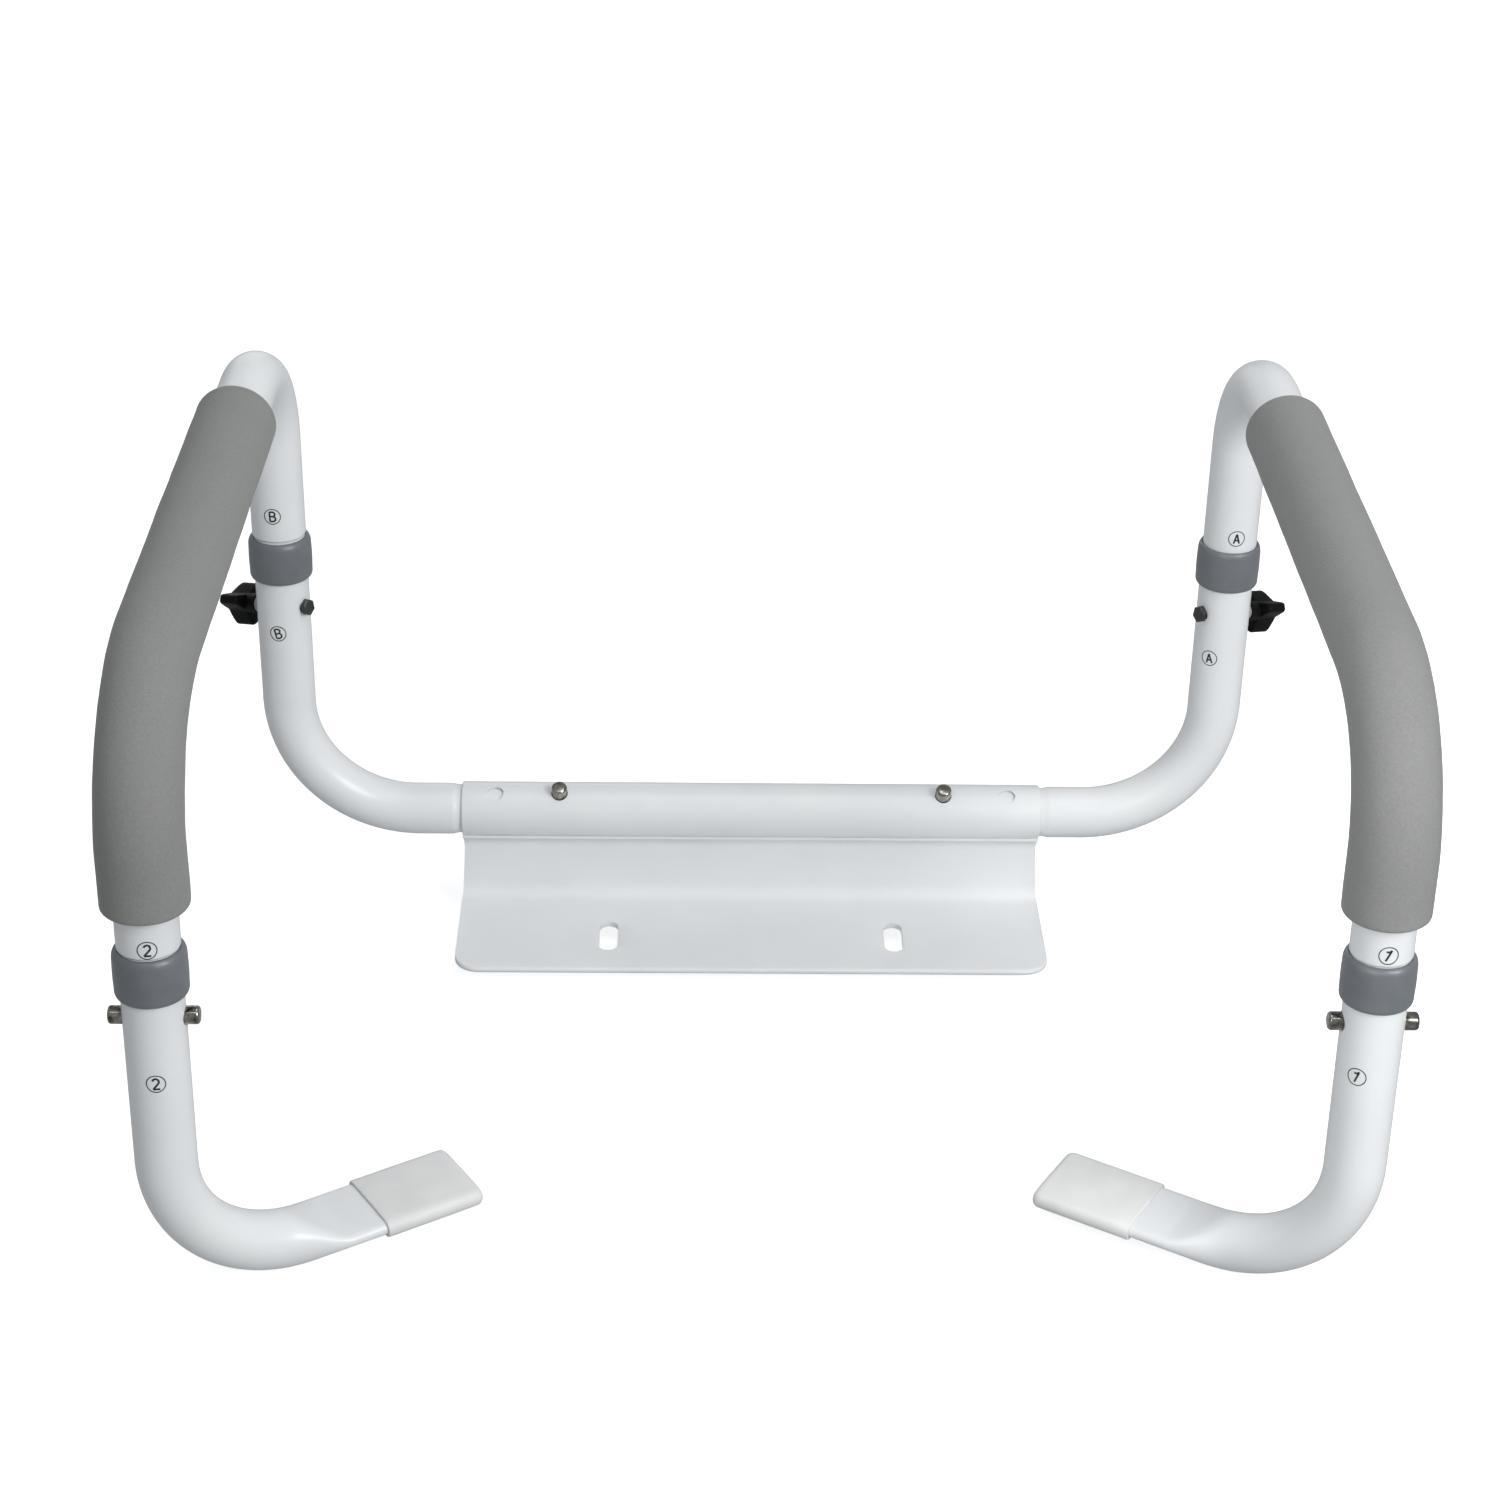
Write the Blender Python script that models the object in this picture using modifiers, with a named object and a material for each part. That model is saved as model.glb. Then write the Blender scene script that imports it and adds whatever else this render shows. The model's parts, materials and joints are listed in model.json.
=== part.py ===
"""Toilet safety frame: two padded armrests on a width-adjustable cross tube.

The frame bolts to a toilet with the seat's own bolts. Metres, +Z up, -Y is the user's front, +X is
the right of somebody who faces the frame. The origin is the middle of the mounting plate's
underside, on the line between the two seat bolts, so z = 0 is the plane of the bowl's rim.
"""

import math

import bmesh
import bpy
from mathutils import Matrix, Vector

# Tubes: 1 inch steel tube, in a slightly larger cross tube.
TUBE_RADIUS = 0.0127
WALL = 0.0012
SWAGED_RADIUS = 0.0111
CROSS_RADIUS = 0.0135
SLIDER_RADIUS = 0.0120
SWAGE_LENGTH = 0.0025
TUBE_RESOLUTION = 6
BEND_STEPS = 7
CLEARANCE = 0.0003

# Cross tube and mounting plate.
CROSS_Y = 0.048
CROSS_Z = 0.047
CROSS_HALF = 0.1434
CROSS_RESOLUTION = 10
INNER_HOLE_X = 0.0950
HOLE_PITCH = 0.03175
HOLE_ELEVATION = math.radians(65)
PLATE_THICKNESS = 0.003
PLATE_WEB_TOP_Y = 0.0455
PLATE_WEB_FOOT_Y = 0.0395
PLATE_BEND_RADIUS = 0.010
PLATE_FRONT_Y = -0.030
PLATE_CORNER = 0.012
SEAT_BOLT_SPACING = 0.140
SLOT_WIDTH = 0.009
SLOT_LENGTH = 0.026

# Side frames.
REAR_X = 0.2260
FRONT_X = 0.2414
FRONT_Y = -0.2605
FRONT_LEAN = 0.0083
ARM_REAR_Z = 0.2958
ARM_FRONT_Z = 0.2646
ARM_REAR_RADIUS = 0.047
ARM_FRONT_RADIUS = 0.0657
REAR_LOWER_RADIUS = 0.061
REAR_SLIDER_END_X = 0.078
ARM_REAR_END_Z = 0.1300
ARM_FRONT_END_Z = 0.1080

# Front foot: the lower tube's inward run, pressed flat inside a plastic sleeve.
FOOT_AXIS_Z = 0.0049
FOOT_ANGLE = math.radians(31.8)
FOOT_BEND_RADIUS = 0.058
FOOT_RUN = 0.1305
FLAT_THICKNESS = 0.0064
FLAT_STEPS = 5
FLAT_LENGTH = 0.026
SLEEVE_START = 0.0885
SLEEVE_LENGTH = 0.046
SLEEVE_WALL = 0.0012
TUBE_SIDES = 16

# Collars, foam and hardware.
COLLAR_RADIUS = 0.0148
COLLAR_HEIGHT = 0.0202
COLLAR_ROUND = 0.0020
COLLAR_LIP = 0.0045
COLLAR_LIP_RADIUS = 0.0114
REAR_COLLAR_Z = 0.1856
FRONT_COLLAR_Z = 0.1535
SOCKET_TOP = COLLAR_HEIGHT / 2 - COLLAR_LIP - CLEARANCE
FOAM_RADIUS = 0.0177
FOAM_BORE = 0.0130
GRIP_REAR_GAP = 0.028
GRIP_FRONT_END_Z = 0.1825

BUTTON_RADIUS = 0.0038
BUTTON_HOLE_RADIUS = 0.0041
BUTTON_STAND = 0.0056
BUTTON_BASE = 0.0088
FRONT_BUTTON_Z = 0.1325
CLIP_WIDTH = 0.0056
CLIP_THICKNESS = 0.0006
CLIP_REACH = 0.036
CLIP_TAIL = 0.004
CLIP_APEX = 0.0022

# The clamp bolt runs backwards and a little downwards from its hex head to its knob.
CLAMP_Z = 0.1587
CLAMP_ANGLE = math.radians(32)
CLAMP_DROP = math.radians(11.5)
BOLT_RADIUS = 0.0025
BOLT_HOLE_RADIUS = 0.0029
HEX_RADIUS = 0.0042
HEX_HEIGHT = 0.0024
HEX_FACE = 0.0141
SPACER_RADIUS = 0.0044
SPACER_FACE = 0.0149
KNOB_FACE = 0.0152
KNOB_HUB_RADIUS = 0.0049
KNOB_HUB_LENGTH = 0.0055
KNOB_LENGTH = 0.0122
KNOB_RADIUS = 0.0110
KNOB_WAIST = 0.0062
KNOB_LOBES = 3
INSERT_RADIUS = 0.0037
INSERT_BORE = 0.0028
INSERT_LENGTH = 0.0092
KNOB_SOCKET = 0.0102

UP = Vector((0, 0, 1))


def clear_scene():
    for item in list(bpy.data.objects):
        bpy.data.objects.remove(item, do_unlink=True)


def new_collection(name):
    collection = bpy.data.collections.new(name)
    bpy.context.scene.collection.children.link(collection)
    return collection


def principled(name, colour, roughness, metallic=0.0):
    material = bpy.data.materials.new(name)
    material.use_nodes = True
    shader = material.node_tree.nodes["Principled BSDF"]
    shader.inputs["Base Color"].default_value = (*colour, 1.0)
    shader.inputs["Roughness"].default_value = roughness
    shader.inputs["Metallic"].default_value = metallic
    material.diffuse_color = (*colour, 1.0)
    return material


clear_scene()
PARTS = new_collection("toilet_safety_frame")
CUTTERS = new_collection("cutters")

POWDER_COAT = principled("white_powder_coat", (0.86, 0.87, 0.88), 0.28)
FOAM = principled("grey_foam", (0.235, 0.235, 0.230), 0.95)
COLLAR_PLASTIC = principled("slate_plastic", (0.165, 0.180, 0.200), 0.45)
SLEEVE_PLASTIC = principled("white_plastic", (0.80, 0.81, 0.81), 0.38)
KNOB_PLASTIC = principled("black_plastic", (0.022, 0.022, 0.024), 0.35)
SPACER_PLASTIC = principled("pale_plastic", (0.42, 0.42, 0.41), 0.5)
NICKEL = principled("nickel_plate", (0.62, 0.60, 0.57), 0.2, 1.0)
SPRING_STEEL = principled("spring_steel", (0.45, 0.45, 0.46), 0.32, 1.0)
BLACK_STEEL = principled("black_steel", (0.05, 0.05, 0.055), 0.4, 1.0)
BRASS = principled("brass", (0.72, 0.52, 0.22), 0.3, 1.0)


def publish(item, material, parent=None):
    """Give a part its material, and hang it on its moving body's empty where it has one."""
    item.data.materials.clear()
    item.data.materials.append(material)
    PARTS.objects.link(item)
    if parent is not None:
        item.parent = parent
        item.matrix_parent_inverse = Matrix.Translation(-parent.location)
    if item.type == "MESH":
        item.data.shade_smooth()
        item.data.set_sharp_from_angle(angle=math.radians(40))
    return item


def mesh_object(name, bm):
    mesh = bpy.data.meshes.new(name)
    bm.to_mesh(mesh)
    bm.free()
    return bpy.data.objects.new(name, mesh)


def placed(item, location, axis):
    """Put an object's origin at a place, with its own Z along an axis."""
    item.rotation_mode = "QUATERNION"
    item.rotation_quaternion = Vector(axis).to_track_quat("Z", "Y")
    item.location = location
    return item


def bar(name, radius, length, sides):
    """A cylinder from its own origin up its own Z."""
    bm = bmesh.new()
    bmesh.ops.create_cone(bm, cap_ends=True, segments=sides, radius1=radius, radius2=radius, depth=length)
    bmesh.ops.translate(bm, verts=bm.verts, vec=(0, 0, length / 2))
    return mesh_object(name, bm)


def as_cutter(item):
    CUTTERS.objects.link(item)
    item.hide_render = True
    item.display_type = "WIRE"
    return item


def boolean(item, tool, operation="DIFFERENCE"):
    modifier = item.modifiers.new(tool.name, "BOOLEAN")
    modifier.operation = operation
    modifier.object = tool


def drill(item, name, radius, start, axis, length, sides=12):
    """Cut a round hole that starts at a point and runs along an axis."""
    boolean(item, as_cutter(placed(bar(name, radius, length, sides), start, axis)))


def turned(name, profile, steps, closed=False):
    """A profile of (radius, height) that runs down its outer side, swept round its own Z."""
    mesh = bpy.data.meshes.new(name)
    edges = [(i, i + 1) for i in range(len(profile) - 1)]
    if closed:
        edges.append((len(profile) - 1, 0))
    mesh.from_pydata([(radius, 0, height) for radius, height in profile], edges, [])
    item = bpy.data.objects.new(name, mesh)
    screw = item.modifiers.new("turn", "SCREW")
    screw.steps = steps
    screw.render_steps = steps
    screw.use_merge_vertices = True
    screw.merge_threshold = 0.00001
    screw.use_smooth_shade = True
    return item


def arc(before, corner, after, radius, steps):
    """The points of a bend of one radius that rounds off a corner."""
    back = (before - corner).normalized()
    ahead = (after - corner).normalized()
    half = back.angle(ahead) / 2
    start = corner + back * radius / math.tan(half)
    centre = corner + (back + ahead).normalized() * radius / math.sin(half)
    axis = back.cross(ahead).normalized()
    sweep = math.pi - 2 * half
    turn = [Matrix.Rotation(-sweep * i / steps, 3, axis) for i in range(steps + 1)]
    return [centre + rotation @ (start - centre) for rotation in turn]


def tube(name, stations, radius, resolution):
    """A hollow tube through (point, radius) stations, open at both ends."""
    curve = bpy.data.curves.new(name + "_route", "CURVE")
    curve.dimensions = "3D"
    curve.bevel_depth = radius
    curve.bevel_resolution = resolution
    curve.use_fill_caps = False
    spline = curve.splines.new("POLY")
    spline.points.add(len(stations) - 1)
    for point, (place, station_radius) in zip(spline.points, stations):
        point.co = (*place, 1)
        point.radius = station_radius / radius
    route = bpy.data.objects.new(name + "_route", curve)
    bpy.context.scene.collection.objects.link(route)
    graph = bpy.context.evaluated_depsgraph_get()
    mesh = bpy.data.meshes.new_from_object(route.evaluated_get(graph))
    mesh.name = name
    item = bpy.data.objects.new(name, mesh)
    item.matrix_world = route.matrix_world
    bpy.data.objects.remove(route, do_unlink=True)
    return item


def hollow(item, wall):
    """Thicken an open skin inwards."""
    shell = item.modifiers.new("wall", "SOLIDIFY")
    shell.thickness = wall
    shell.offset = -1
    shell.use_even_offset = True


def ribbon(name, points, across, thickness):
    """A bent strip: a line of points swept across a vector, then thickened both ways."""
    bm = bmesh.new()
    verts = [bm.verts.new(point - across / 2) for point in points]
    edges = [bm.edges.new(pair) for pair in zip(verts, verts[1:])]
    swept = bmesh.ops.extrude_edge_only(bm, edges=edges)["geom"]
    moved = [element for element in swept if isinstance(element, bmesh.types.BMVert)]
    bmesh.ops.translate(bm, verts=moved, vec=across)
    item = mesh_object(name, bm)
    strip = item.modifiers.new("thickness", "SOLIDIFY")
    strip.thickness = thickness
    strip.offset = 0
    strip.use_even_offset = True
    return item


# Cross tube and plate -----------------------------------------------------------------------------

CROSS_AXIS = Vector((0, CROSS_Y, CROSS_Z))
HOLE_AXIS = Vector((0, -math.cos(HOLE_ELEVATION), math.sin(HOLE_ELEVATION)))


def make_cross_tube():
    ends = [CROSS_AXIS + Vector((x, 0, 0)) for x in (-CROSS_HALF, CROSS_HALF)]
    item = tube("cross_tube", [(end, CROSS_RADIUS) for end in ends], CROSS_RADIUS, CROSS_RESOLUTION)
    hollow(item, WALL)
    for side, sign in SIDES:
        for label, x in (("inner", INNER_HOLE_X), ("outer", INNER_HOLE_X + HOLE_PITCH)):
            start = CROSS_AXIS + Vector((sign * x, 0, 0))
            drill(item, f"{label}_hole_{side}", BUTTON_HOLE_RADIUS, start, HOLE_AXIS, 2 * CROSS_RADIUS)
    publish(item, POWDER_COAT)


def slot_cutter(name, x):
    """A round-ended slot that runs front to back, as a flat outline with some depth."""
    straight = (SLOT_LENGTH - SLOT_WIDTH) / 2
    bm = bmesh.new()
    outline = []
    for turn, end in ((0, straight), (math.pi, -straight)):
        for i in range(7):
            angle = turn + math.pi * i / 6
            outline.append((SLOT_WIDTH / 2 * math.cos(angle), end + SLOT_WIDTH / 2 * math.sin(angle), -0.01))
    face = bm.faces.new([bm.verts.new(place) for place in outline])
    swept = bmesh.ops.extrude_face_region(bm, geom=[face])["geom"]
    top = [element for element in swept if isinstance(element, bmesh.types.BMVert)]
    bmesh.ops.translate(bm, verts=top, vec=(0, 0, 0.02))
    bmesh.ops.recalc_face_normals(bm, faces=bm.faces)
    item = mesh_object(name, bm)
    item.location = (x, 0, 0)
    return as_cutter(item)


def make_plate():
    """A web that hangs from the cross tube and bends forward onto the rim."""
    middle = PLATE_THICKNESS / 2
    drop = PLATE_WEB_TOP_Y - CROSS_Y
    web_top_z = CROSS_Z - math.sqrt(CROSS_RADIUS**2 - drop**2) - 2 * CLEARANCE
    left = -CROSS_HALF
    top = Vector((left, PLATE_WEB_TOP_Y, web_top_z))
    heel = Vector((left, PLATE_WEB_FOOT_Y, middle))
    front = Vector((left, PLATE_FRONT_Y, middle))
    points = [top, *arc(top, heel, front, PLATE_BEND_RADIUS, 5), front]
    across = Vector((2 * CROSS_HALF, 0, 0))
    item = ribbon("mounting_plate", [point + across / 2 for point in points], across, PLATE_THICKNESS)
    bm = bmesh.new()
    bm.from_mesh(item.data)
    corners = [vert for vert in bm.verts if abs(vert.co.y - PLATE_FRONT_Y) < 0.0001]
    bmesh.ops.bevel(bm, geom=corners, offset=PLATE_CORNER, segments=4, profile=0.5, affect="VERTICES")
    bm.to_mesh(item.data)
    bm.free()
    for side, sign in SIDES:
        boolean(item, slot_cutter(f"slot_{side}", sign * SEAT_BOLT_SPACING / 2))
    publish(item, POWDER_COAT)


# Side frames --------------------------------------------------------------------------------------


class Side:
    """The lines that one side frame is built on. sign is -1 on the left and 1 on the right."""

    def __init__(self, name, sign):
        self.name = name
        self.sign = sign
        self.rear_foot = Vector((sign * REAR_X, CROSS_Y, CROSS_Z))
        self.rear_top = Vector((sign * REAR_X, CROSS_Y, ARM_REAR_Z))
        self.front_top = Vector((sign * FRONT_X, FRONT_Y, ARM_FRONT_Z))
        run = self.front_top - self.rear_top
        ahead = Vector((run.x, run.y, 0)).normalized()
        self.down = (ahead * FRONT_LEAN - UP * (ARM_FRONT_Z - FOOT_AXIS_Z)).normalized()
        self.foot_corner = self.on_front(FOOT_AXIS_Z)
        self.foot_run = Vector((-sign * math.cos(FOOT_ANGLE), math.sin(FOOT_ANGLE), 0))
        self.outward = Vector((sign, 0, 0))
        level = Vector((sign * math.cos(CLAMP_ANGLE), math.sin(CLAMP_ANGLE), 0))
        self.clamp_axis = level * math.cos(CLAMP_DROP) - UP * math.sin(CLAMP_DROP)
        self.clamp_centre = Vector((sign * REAR_X, CROSS_Y, CLAMP_Z))
        self.empty = bpy.data.objects.new(f"side_{name}", None)
        self.empty.location = (sign * CROSS_HALF, CROSS_Y, CROSS_Z)
        PARTS.objects.link(self.empty)

    def on_front(self, height):
        """The front upright's axis at a height."""
        return self.front_top + self.down * (height - self.front_top.z) / self.down.z

    def on_rear(self, height):
        return Vector((self.rear_top.x, self.rear_top.y, height))

    def arm_bends(self):
        rear = arc(self.rear_foot, self.rear_top, self.front_top, ARM_REAR_RADIUS, BEND_STEPS)
        front = arc(self.rear_top, self.front_top, self.foot_corner, ARM_FRONT_RADIUS, BEND_STEPS)
        return rear, front


SIDES = (("left", -1), ("right", 1))


def make_rear_lower_tube(side):
    """Slides in the cross tube, then bends up to become the rear upright."""
    inner = Vector((side.sign * REAR_SLIDER_END_X, CROSS_Y, CROSS_Z))
    shoulder = Vector((side.sign * (CROSS_HALF + 0.0025), CROSS_Y, CROSS_Z))
    top = side.on_rear(REAR_COLLAR_Z + SOCKET_TOP)
    stations = [(inner, SLIDER_RADIUS), (shoulder, SLIDER_RADIUS)]
    stations.append((shoulder + side.outward * SWAGE_LENGTH, TUBE_RADIUS))
    bend = arc(inner, side.rear_foot, top, REAR_LOWER_RADIUS, BEND_STEPS)
    stations += [(point, TUBE_RADIUS) for point in bend]
    stations.append((top, TUBE_RADIUS))
    item = tube(f"rear_lower_tube_{side.name}", stations, TUBE_RADIUS, TUBE_RESOLUTION)
    hollow(item, WALL)
    button = Vector((side.sign * INNER_HOLE_X, CROSS_Y, CROSS_Z))
    drill(item, f"slider_hole_{side.name}", BUTTON_HOLE_RADIUS, button, HOLE_AXIS, 2 * CROSS_RADIUS)
    drill_clamp_hole(item, side, "lower")
    publish(item, POWDER_COAT, side.empty)


def drill_clamp_hole(item, side, label):
    start = side.clamp_centre - side.clamp_axis * 2 * TUBE_RADIUS
    name = f"clamp_hole_{label}_{side.name}"
    drill(item, name, BOLT_HOLE_RADIUS, start, side.clamp_axis, 4 * TUBE_RADIUS)


def drill_button_holes(item, side, label):
    start = side.on_front(FRONT_BUTTON_Z) - side.outward * 2 * TUBE_RADIUS
    name = f"button_hole_{label}_{side.name}"
    drill(item, name, BUTTON_HOLE_RADIUS, start, side.outward, 4 * TUBE_RADIUS)


def make_arm_tube(side):
    """One tube from the rear socket over the armrest and down into the front socket."""
    rear_bend, front_bend = side.arm_bends()
    rear_shoulder = REAR_COLLAR_Z + COLLAR_HEIGHT / 2 + CLEARANCE
    front_shoulder = FRONT_COLLAR_Z + COLLAR_HEIGHT / 2 + CLEARANCE
    stations = [(side.on_rear(ARM_REAR_END_Z), SWAGED_RADIUS), (side.on_rear(rear_shoulder), SWAGED_RADIUS)]
    stations.append((side.on_rear(rear_shoulder + SWAGE_LENGTH), TUBE_RADIUS))
    stations += [(point, TUBE_RADIUS) for point in rear_bend + front_bend]
    stations.append((side.on_front(front_shoulder + SWAGE_LENGTH), TUBE_RADIUS))
    stations.append((side.on_front(front_shoulder), SWAGED_RADIUS))
    stations.append((side.on_front(ARM_FRONT_END_Z), SWAGED_RADIUS))
    item = tube(f"arm_tube_{side.name}", stations, TUBE_RADIUS, TUBE_RESOLUTION)
    hollow(item, WALL)
    drill_clamp_hole(item, side, "arm")
    drill_button_holes(item, side, "arm")
    publish(item, POWDER_COAT, side.empty)


def make_foam_grip(side):
    """A foam sleeve from just in front of the rear bend to partway down the front upright."""
    rear_bend, front_bend = side.arm_bends()
    along = (front_bend[0] - rear_bend[-1]).normalized()
    route = [rear_bend[-1] + along * GRIP_REAR_GAP, *front_bend, side.on_front(GRIP_FRONT_END_Z)]
    stations = [(point, FOAM_RADIUS) for point in route]
    item = tube(f"foam_grip_{side.name}", stations, FOAM_RADIUS, TUBE_RESOLUTION)
    hollow(item, FOAM_RADIUS - FOAM_BORE)
    publish(item, FOAM, side.empty)


def flattened_section(squash):
    """Half the width and half the height of a tube pressed by a share of the way to flat."""
    height = TUBE_RADIUS + (FLAT_THICKNESS / 2 - TUBE_RADIUS) * squash
    width = height + math.pi / 2 * (TUBE_RADIUS - height)
    return width, height


def stadium(width, height):
    """A round-ended outline of half-width and half-height, as TUBE_SIDES points."""
    points = []
    for i in range(TUBE_SIDES):
        angle = 2 * math.pi * (i + 0.5) / TUBE_SIDES
        shift = math.copysign(width - height, math.cos(angle))
        points.append((shift + height * math.cos(angle), height * math.sin(angle)))
    return points


def ease(share):
    return share * share * (3 - 2 * share)


def make_front_lower_tube(side):
    """The front upright's lower half, bent inwards and pressed flat to lie on the rim."""
    top = side.on_front(FRONT_COLLAR_Z + SOCKET_TOP)
    corner = side.foot_corner
    end = corner + side.foot_run * FOOT_RUN
    bend = arc(top, corner, end, FOOT_BEND_RADIUS, BEND_STEPS)
    stations = [(top, 0.0)] + [(point, 0.0) for point in bend]
    for i in range(1, FLAT_STEPS + 1):
        share = i / FLAT_STEPS
        stations.append((bend[-1] + side.foot_run * FLAT_LENGTH * share, ease(share)))
    stations.append((end, 1.0))
    across = side.foot_run.cross(UP).normalized() * -side.sign
    bm = bmesh.new()
    rings = []
    for i, (point, squash) in enumerate(stations):
        before = stations[max(i - 1, 0)][0]
        after = stations[min(i + 1, len(stations) - 1)][0]
        tangent = (after - before).normalized()
        upward = across.cross(tangent).normalized()
        sideways = tangent.cross(upward)
        width, height = flattened_section(squash)
        outline = stadium(width, height)
        rings.append([bm.verts.new(point + sideways * x + upward * y) for x, y in outline])
    for ring, following in zip(rings, rings[1:]):
        bmesh.ops.bridge_loops(bm, edges=loop_edges(bm, ring) + loop_edges(bm, following))
    bmesh.ops.recalc_face_normals(bm, faces=bm.faces)
    item = mesh_object(f"front_lower_tube_{side.name}", bm)
    face_outwards(item, top)
    hollow(item, WALL)
    drill_button_holes(item, side, "lower")
    publish(item, POWDER_COAT, side.empty)


def loop_edges(bm, ring):
    """The edges round a ring of vertices, made the first time they are asked for."""
    pairs = zip(ring, ring[1:] + ring[:1])
    return [bm.edges.get(pair) or bm.edges.new(pair) for pair in pairs]


def face_outwards(item, axis_point):
    """Flip an open tube whose first face looks at the tube's own axis."""
    face = item.data.polygons[0]
    outward = face.center - axis_point
    outward.z = 0
    if face.normal.dot(outward) < 0:
        item.data.flip_normals()


def make_foot_sleeve(side):
    """A plastic cap over the flattened end, open towards the bend."""
    width, height = flattened_section(1.0)
    grow = CLEARANCE + SLEEVE_WALL
    start = side.foot_corner + side.foot_run * SLEEVE_START
    across = side.foot_run.cross(UP).normalized()
    outline = stadium(width + grow, height + grow)
    bm = bmesh.new()
    ring = [bm.verts.new(start + across * x + UP * y) for x, y in outline]
    edges = loop_edges(bm, ring)
    swept = bmesh.ops.extrude_edge_only(bm, edges=edges)["geom"]
    far = [element for element in swept if isinstance(element, bmesh.types.BMVert)]
    bmesh.ops.translate(bm, verts=far, vec=side.foot_run * SLEEVE_LENGTH)
    far_edges = [edge for edge in bm.edges if all(vert in far for vert in edge.verts)]
    bmesh.ops.contextual_create(bm, geom=far_edges)
    bmesh.ops.recalc_face_normals(bm, faces=bm.faces)
    item = mesh_object(f"foot_sleeve_{side.name}", bm)
    cap = max(item.data.polygons, key=lambda face: len(face.vertices))
    if cap.normal.dot(side.foot_run) < 0:
        item.data.flip_normals()
    hollow(item, SLEEVE_WALL)
    publish(item, SLEEVE_PLASTIC, side.empty)


def make_collar(name, centre, axis, side):
    """A moulded ring on a socket's mouth, with a lip that centres the tube that goes in."""
    half = COLLAR_HEIGHT / 2
    bore = TUBE_RADIUS + CLEARANCE
    inset = COLLAR_ROUND * (1 - math.sqrt(0.5))
    profile = [
        (COLLAR_RADIUS - COLLAR_ROUND, half),
        (COLLAR_RADIUS - inset, half - inset),
        (COLLAR_RADIUS, half - COLLAR_ROUND),
        (COLLAR_RADIUS, COLLAR_ROUND - half),
        (COLLAR_RADIUS - inset, inset - half),
        (COLLAR_RADIUS - COLLAR_ROUND + 0.0003, -half),
        (bore, -half),
        (bore, half - COLLAR_LIP),
        (COLLAR_LIP_RADIUS, half - COLLAR_LIP),
        (COLLAR_LIP_RADIUS, half),
    ]
    item = placed(turned(name, profile, 20, closed=True), centre, axis)
    publish(item, COLLAR_PLASTIC, side.empty)


# Snap buttons and clamp ---------------------------------------------------------------------------


def make_button(name, centre, axis, surface_radius, side):
    """A domed pin that stands out of a tube wall. Its origin is where its axis meets the tube's."""
    tip = surface_radius + BUTTON_STAND
    dome = 0.0012
    profile = [
        (0, tip),
        (BUTTON_RADIUS - dome, tip),
        (BUTTON_RADIUS, tip - dome),
        (BUTTON_RADIUS, BUTTON_BASE),
        (0, BUTTON_BASE),
    ]
    item = placed(turned(name, profile, 12), centre, axis)
    publish(item, NICKEL, side.empty)


def make_clip(name, centre, button_axis, into_tube, side):
    """A leaf spring folded at its far end, whose two legs push outwards behind the buttons."""
    leg = BUTTON_BASE - CLEARANCE - CLIP_THICKNESS / 2 - 0.0001
    across = button_axis.cross(into_tube).normalized() * CLIP_WIDTH
    points = [
        centre + button_axis * leg - into_tube * CLIP_TAIL,
        centre + button_axis * leg + into_tube * CLIP_TAIL,
    ]
    for i in range(5):
        angle = math.pi * i / 4
        bow = button_axis * math.cos(angle) * CLIP_APEX + into_tube * math.sin(angle) * CLIP_APEX
        points.append(centre + into_tube * CLIP_REACH + bow)
    points.append(centre - button_axis * leg + into_tube * CLIP_TAIL)
    points.append(centre - button_axis * leg - into_tube * CLIP_TAIL)
    item = ribbon(name, points, across, CLIP_THICKNESS)
    publish(item, SPRING_STEEL, side.empty)


def make_snap_locks(side):
    button = Vector((side.sign * INNER_HOLE_X, CROSS_Y, CROSS_Z))
    make_button(f"rear_snap_button_{side.name}", button, HOLE_AXIS, CROSS_RADIUS, side)
    make_clip(f"rear_spring_clip_{side.name}", button, HOLE_AXIS, side.outward, side)
    front = side.on_front(FRONT_BUTTON_Z)
    for label, axis in (("outer", side.outward), ("inner", -side.outward)):
        make_button(f"front_snap_button_{label}_{side.name}", front, axis, TUBE_RADIUS, side)
    make_clip(f"front_spring_clip_{side.name}", front, side.outward, -side.down, side)


def make_clamp_bolt(side):
    """A hex bolt whose head is on the inner front of the rear upright."""
    seat = side.clamp_centre - side.clamp_axis * HEX_FACE
    item = placed(bar(f"clamp_bolt_{side.name}", HEX_RADIUS, HEX_HEIGHT, 6), seat, -side.clamp_axis)
    reach = HEX_FACE + KNOB_FACE + INSERT_LENGTH
    start = seat - side.clamp_axis * HEX_HEIGHT / 2
    shank = placed(bar(f"shank_{side.name}", BOLT_RADIUS, reach, 12), start, side.clamp_axis)
    boolean(item, as_cutter(shank), "UNION")
    publish(item, BLACK_STEEL, side.empty)


def make_spacer(side):
    """A saddle between the knob and the round tube."""
    start = TUBE_RADIUS * 0.9
    name = f"knob_spacer_{side.name}"
    origin = side.clamp_centre + side.clamp_axis * start
    item = placed(bar(name, SPACER_RADIUS, SPACER_FACE - start, 20), origin, side.clamp_axis)
    below = side.clamp_centre - UP * SPACER_RADIUS * 3
    drill(item, f"saddle_{side.name}", TUBE_RADIUS + CLEARANCE, below, UP, SPACER_RADIUS * 6, 32)
    drill(item, f"spacer_hole_{side.name}", BOLT_HOLE_RADIUS, side.clamp_centre, side.clamp_axis, 0.03)
    publish(item, SPACER_PLASTIC, side.empty)


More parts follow.
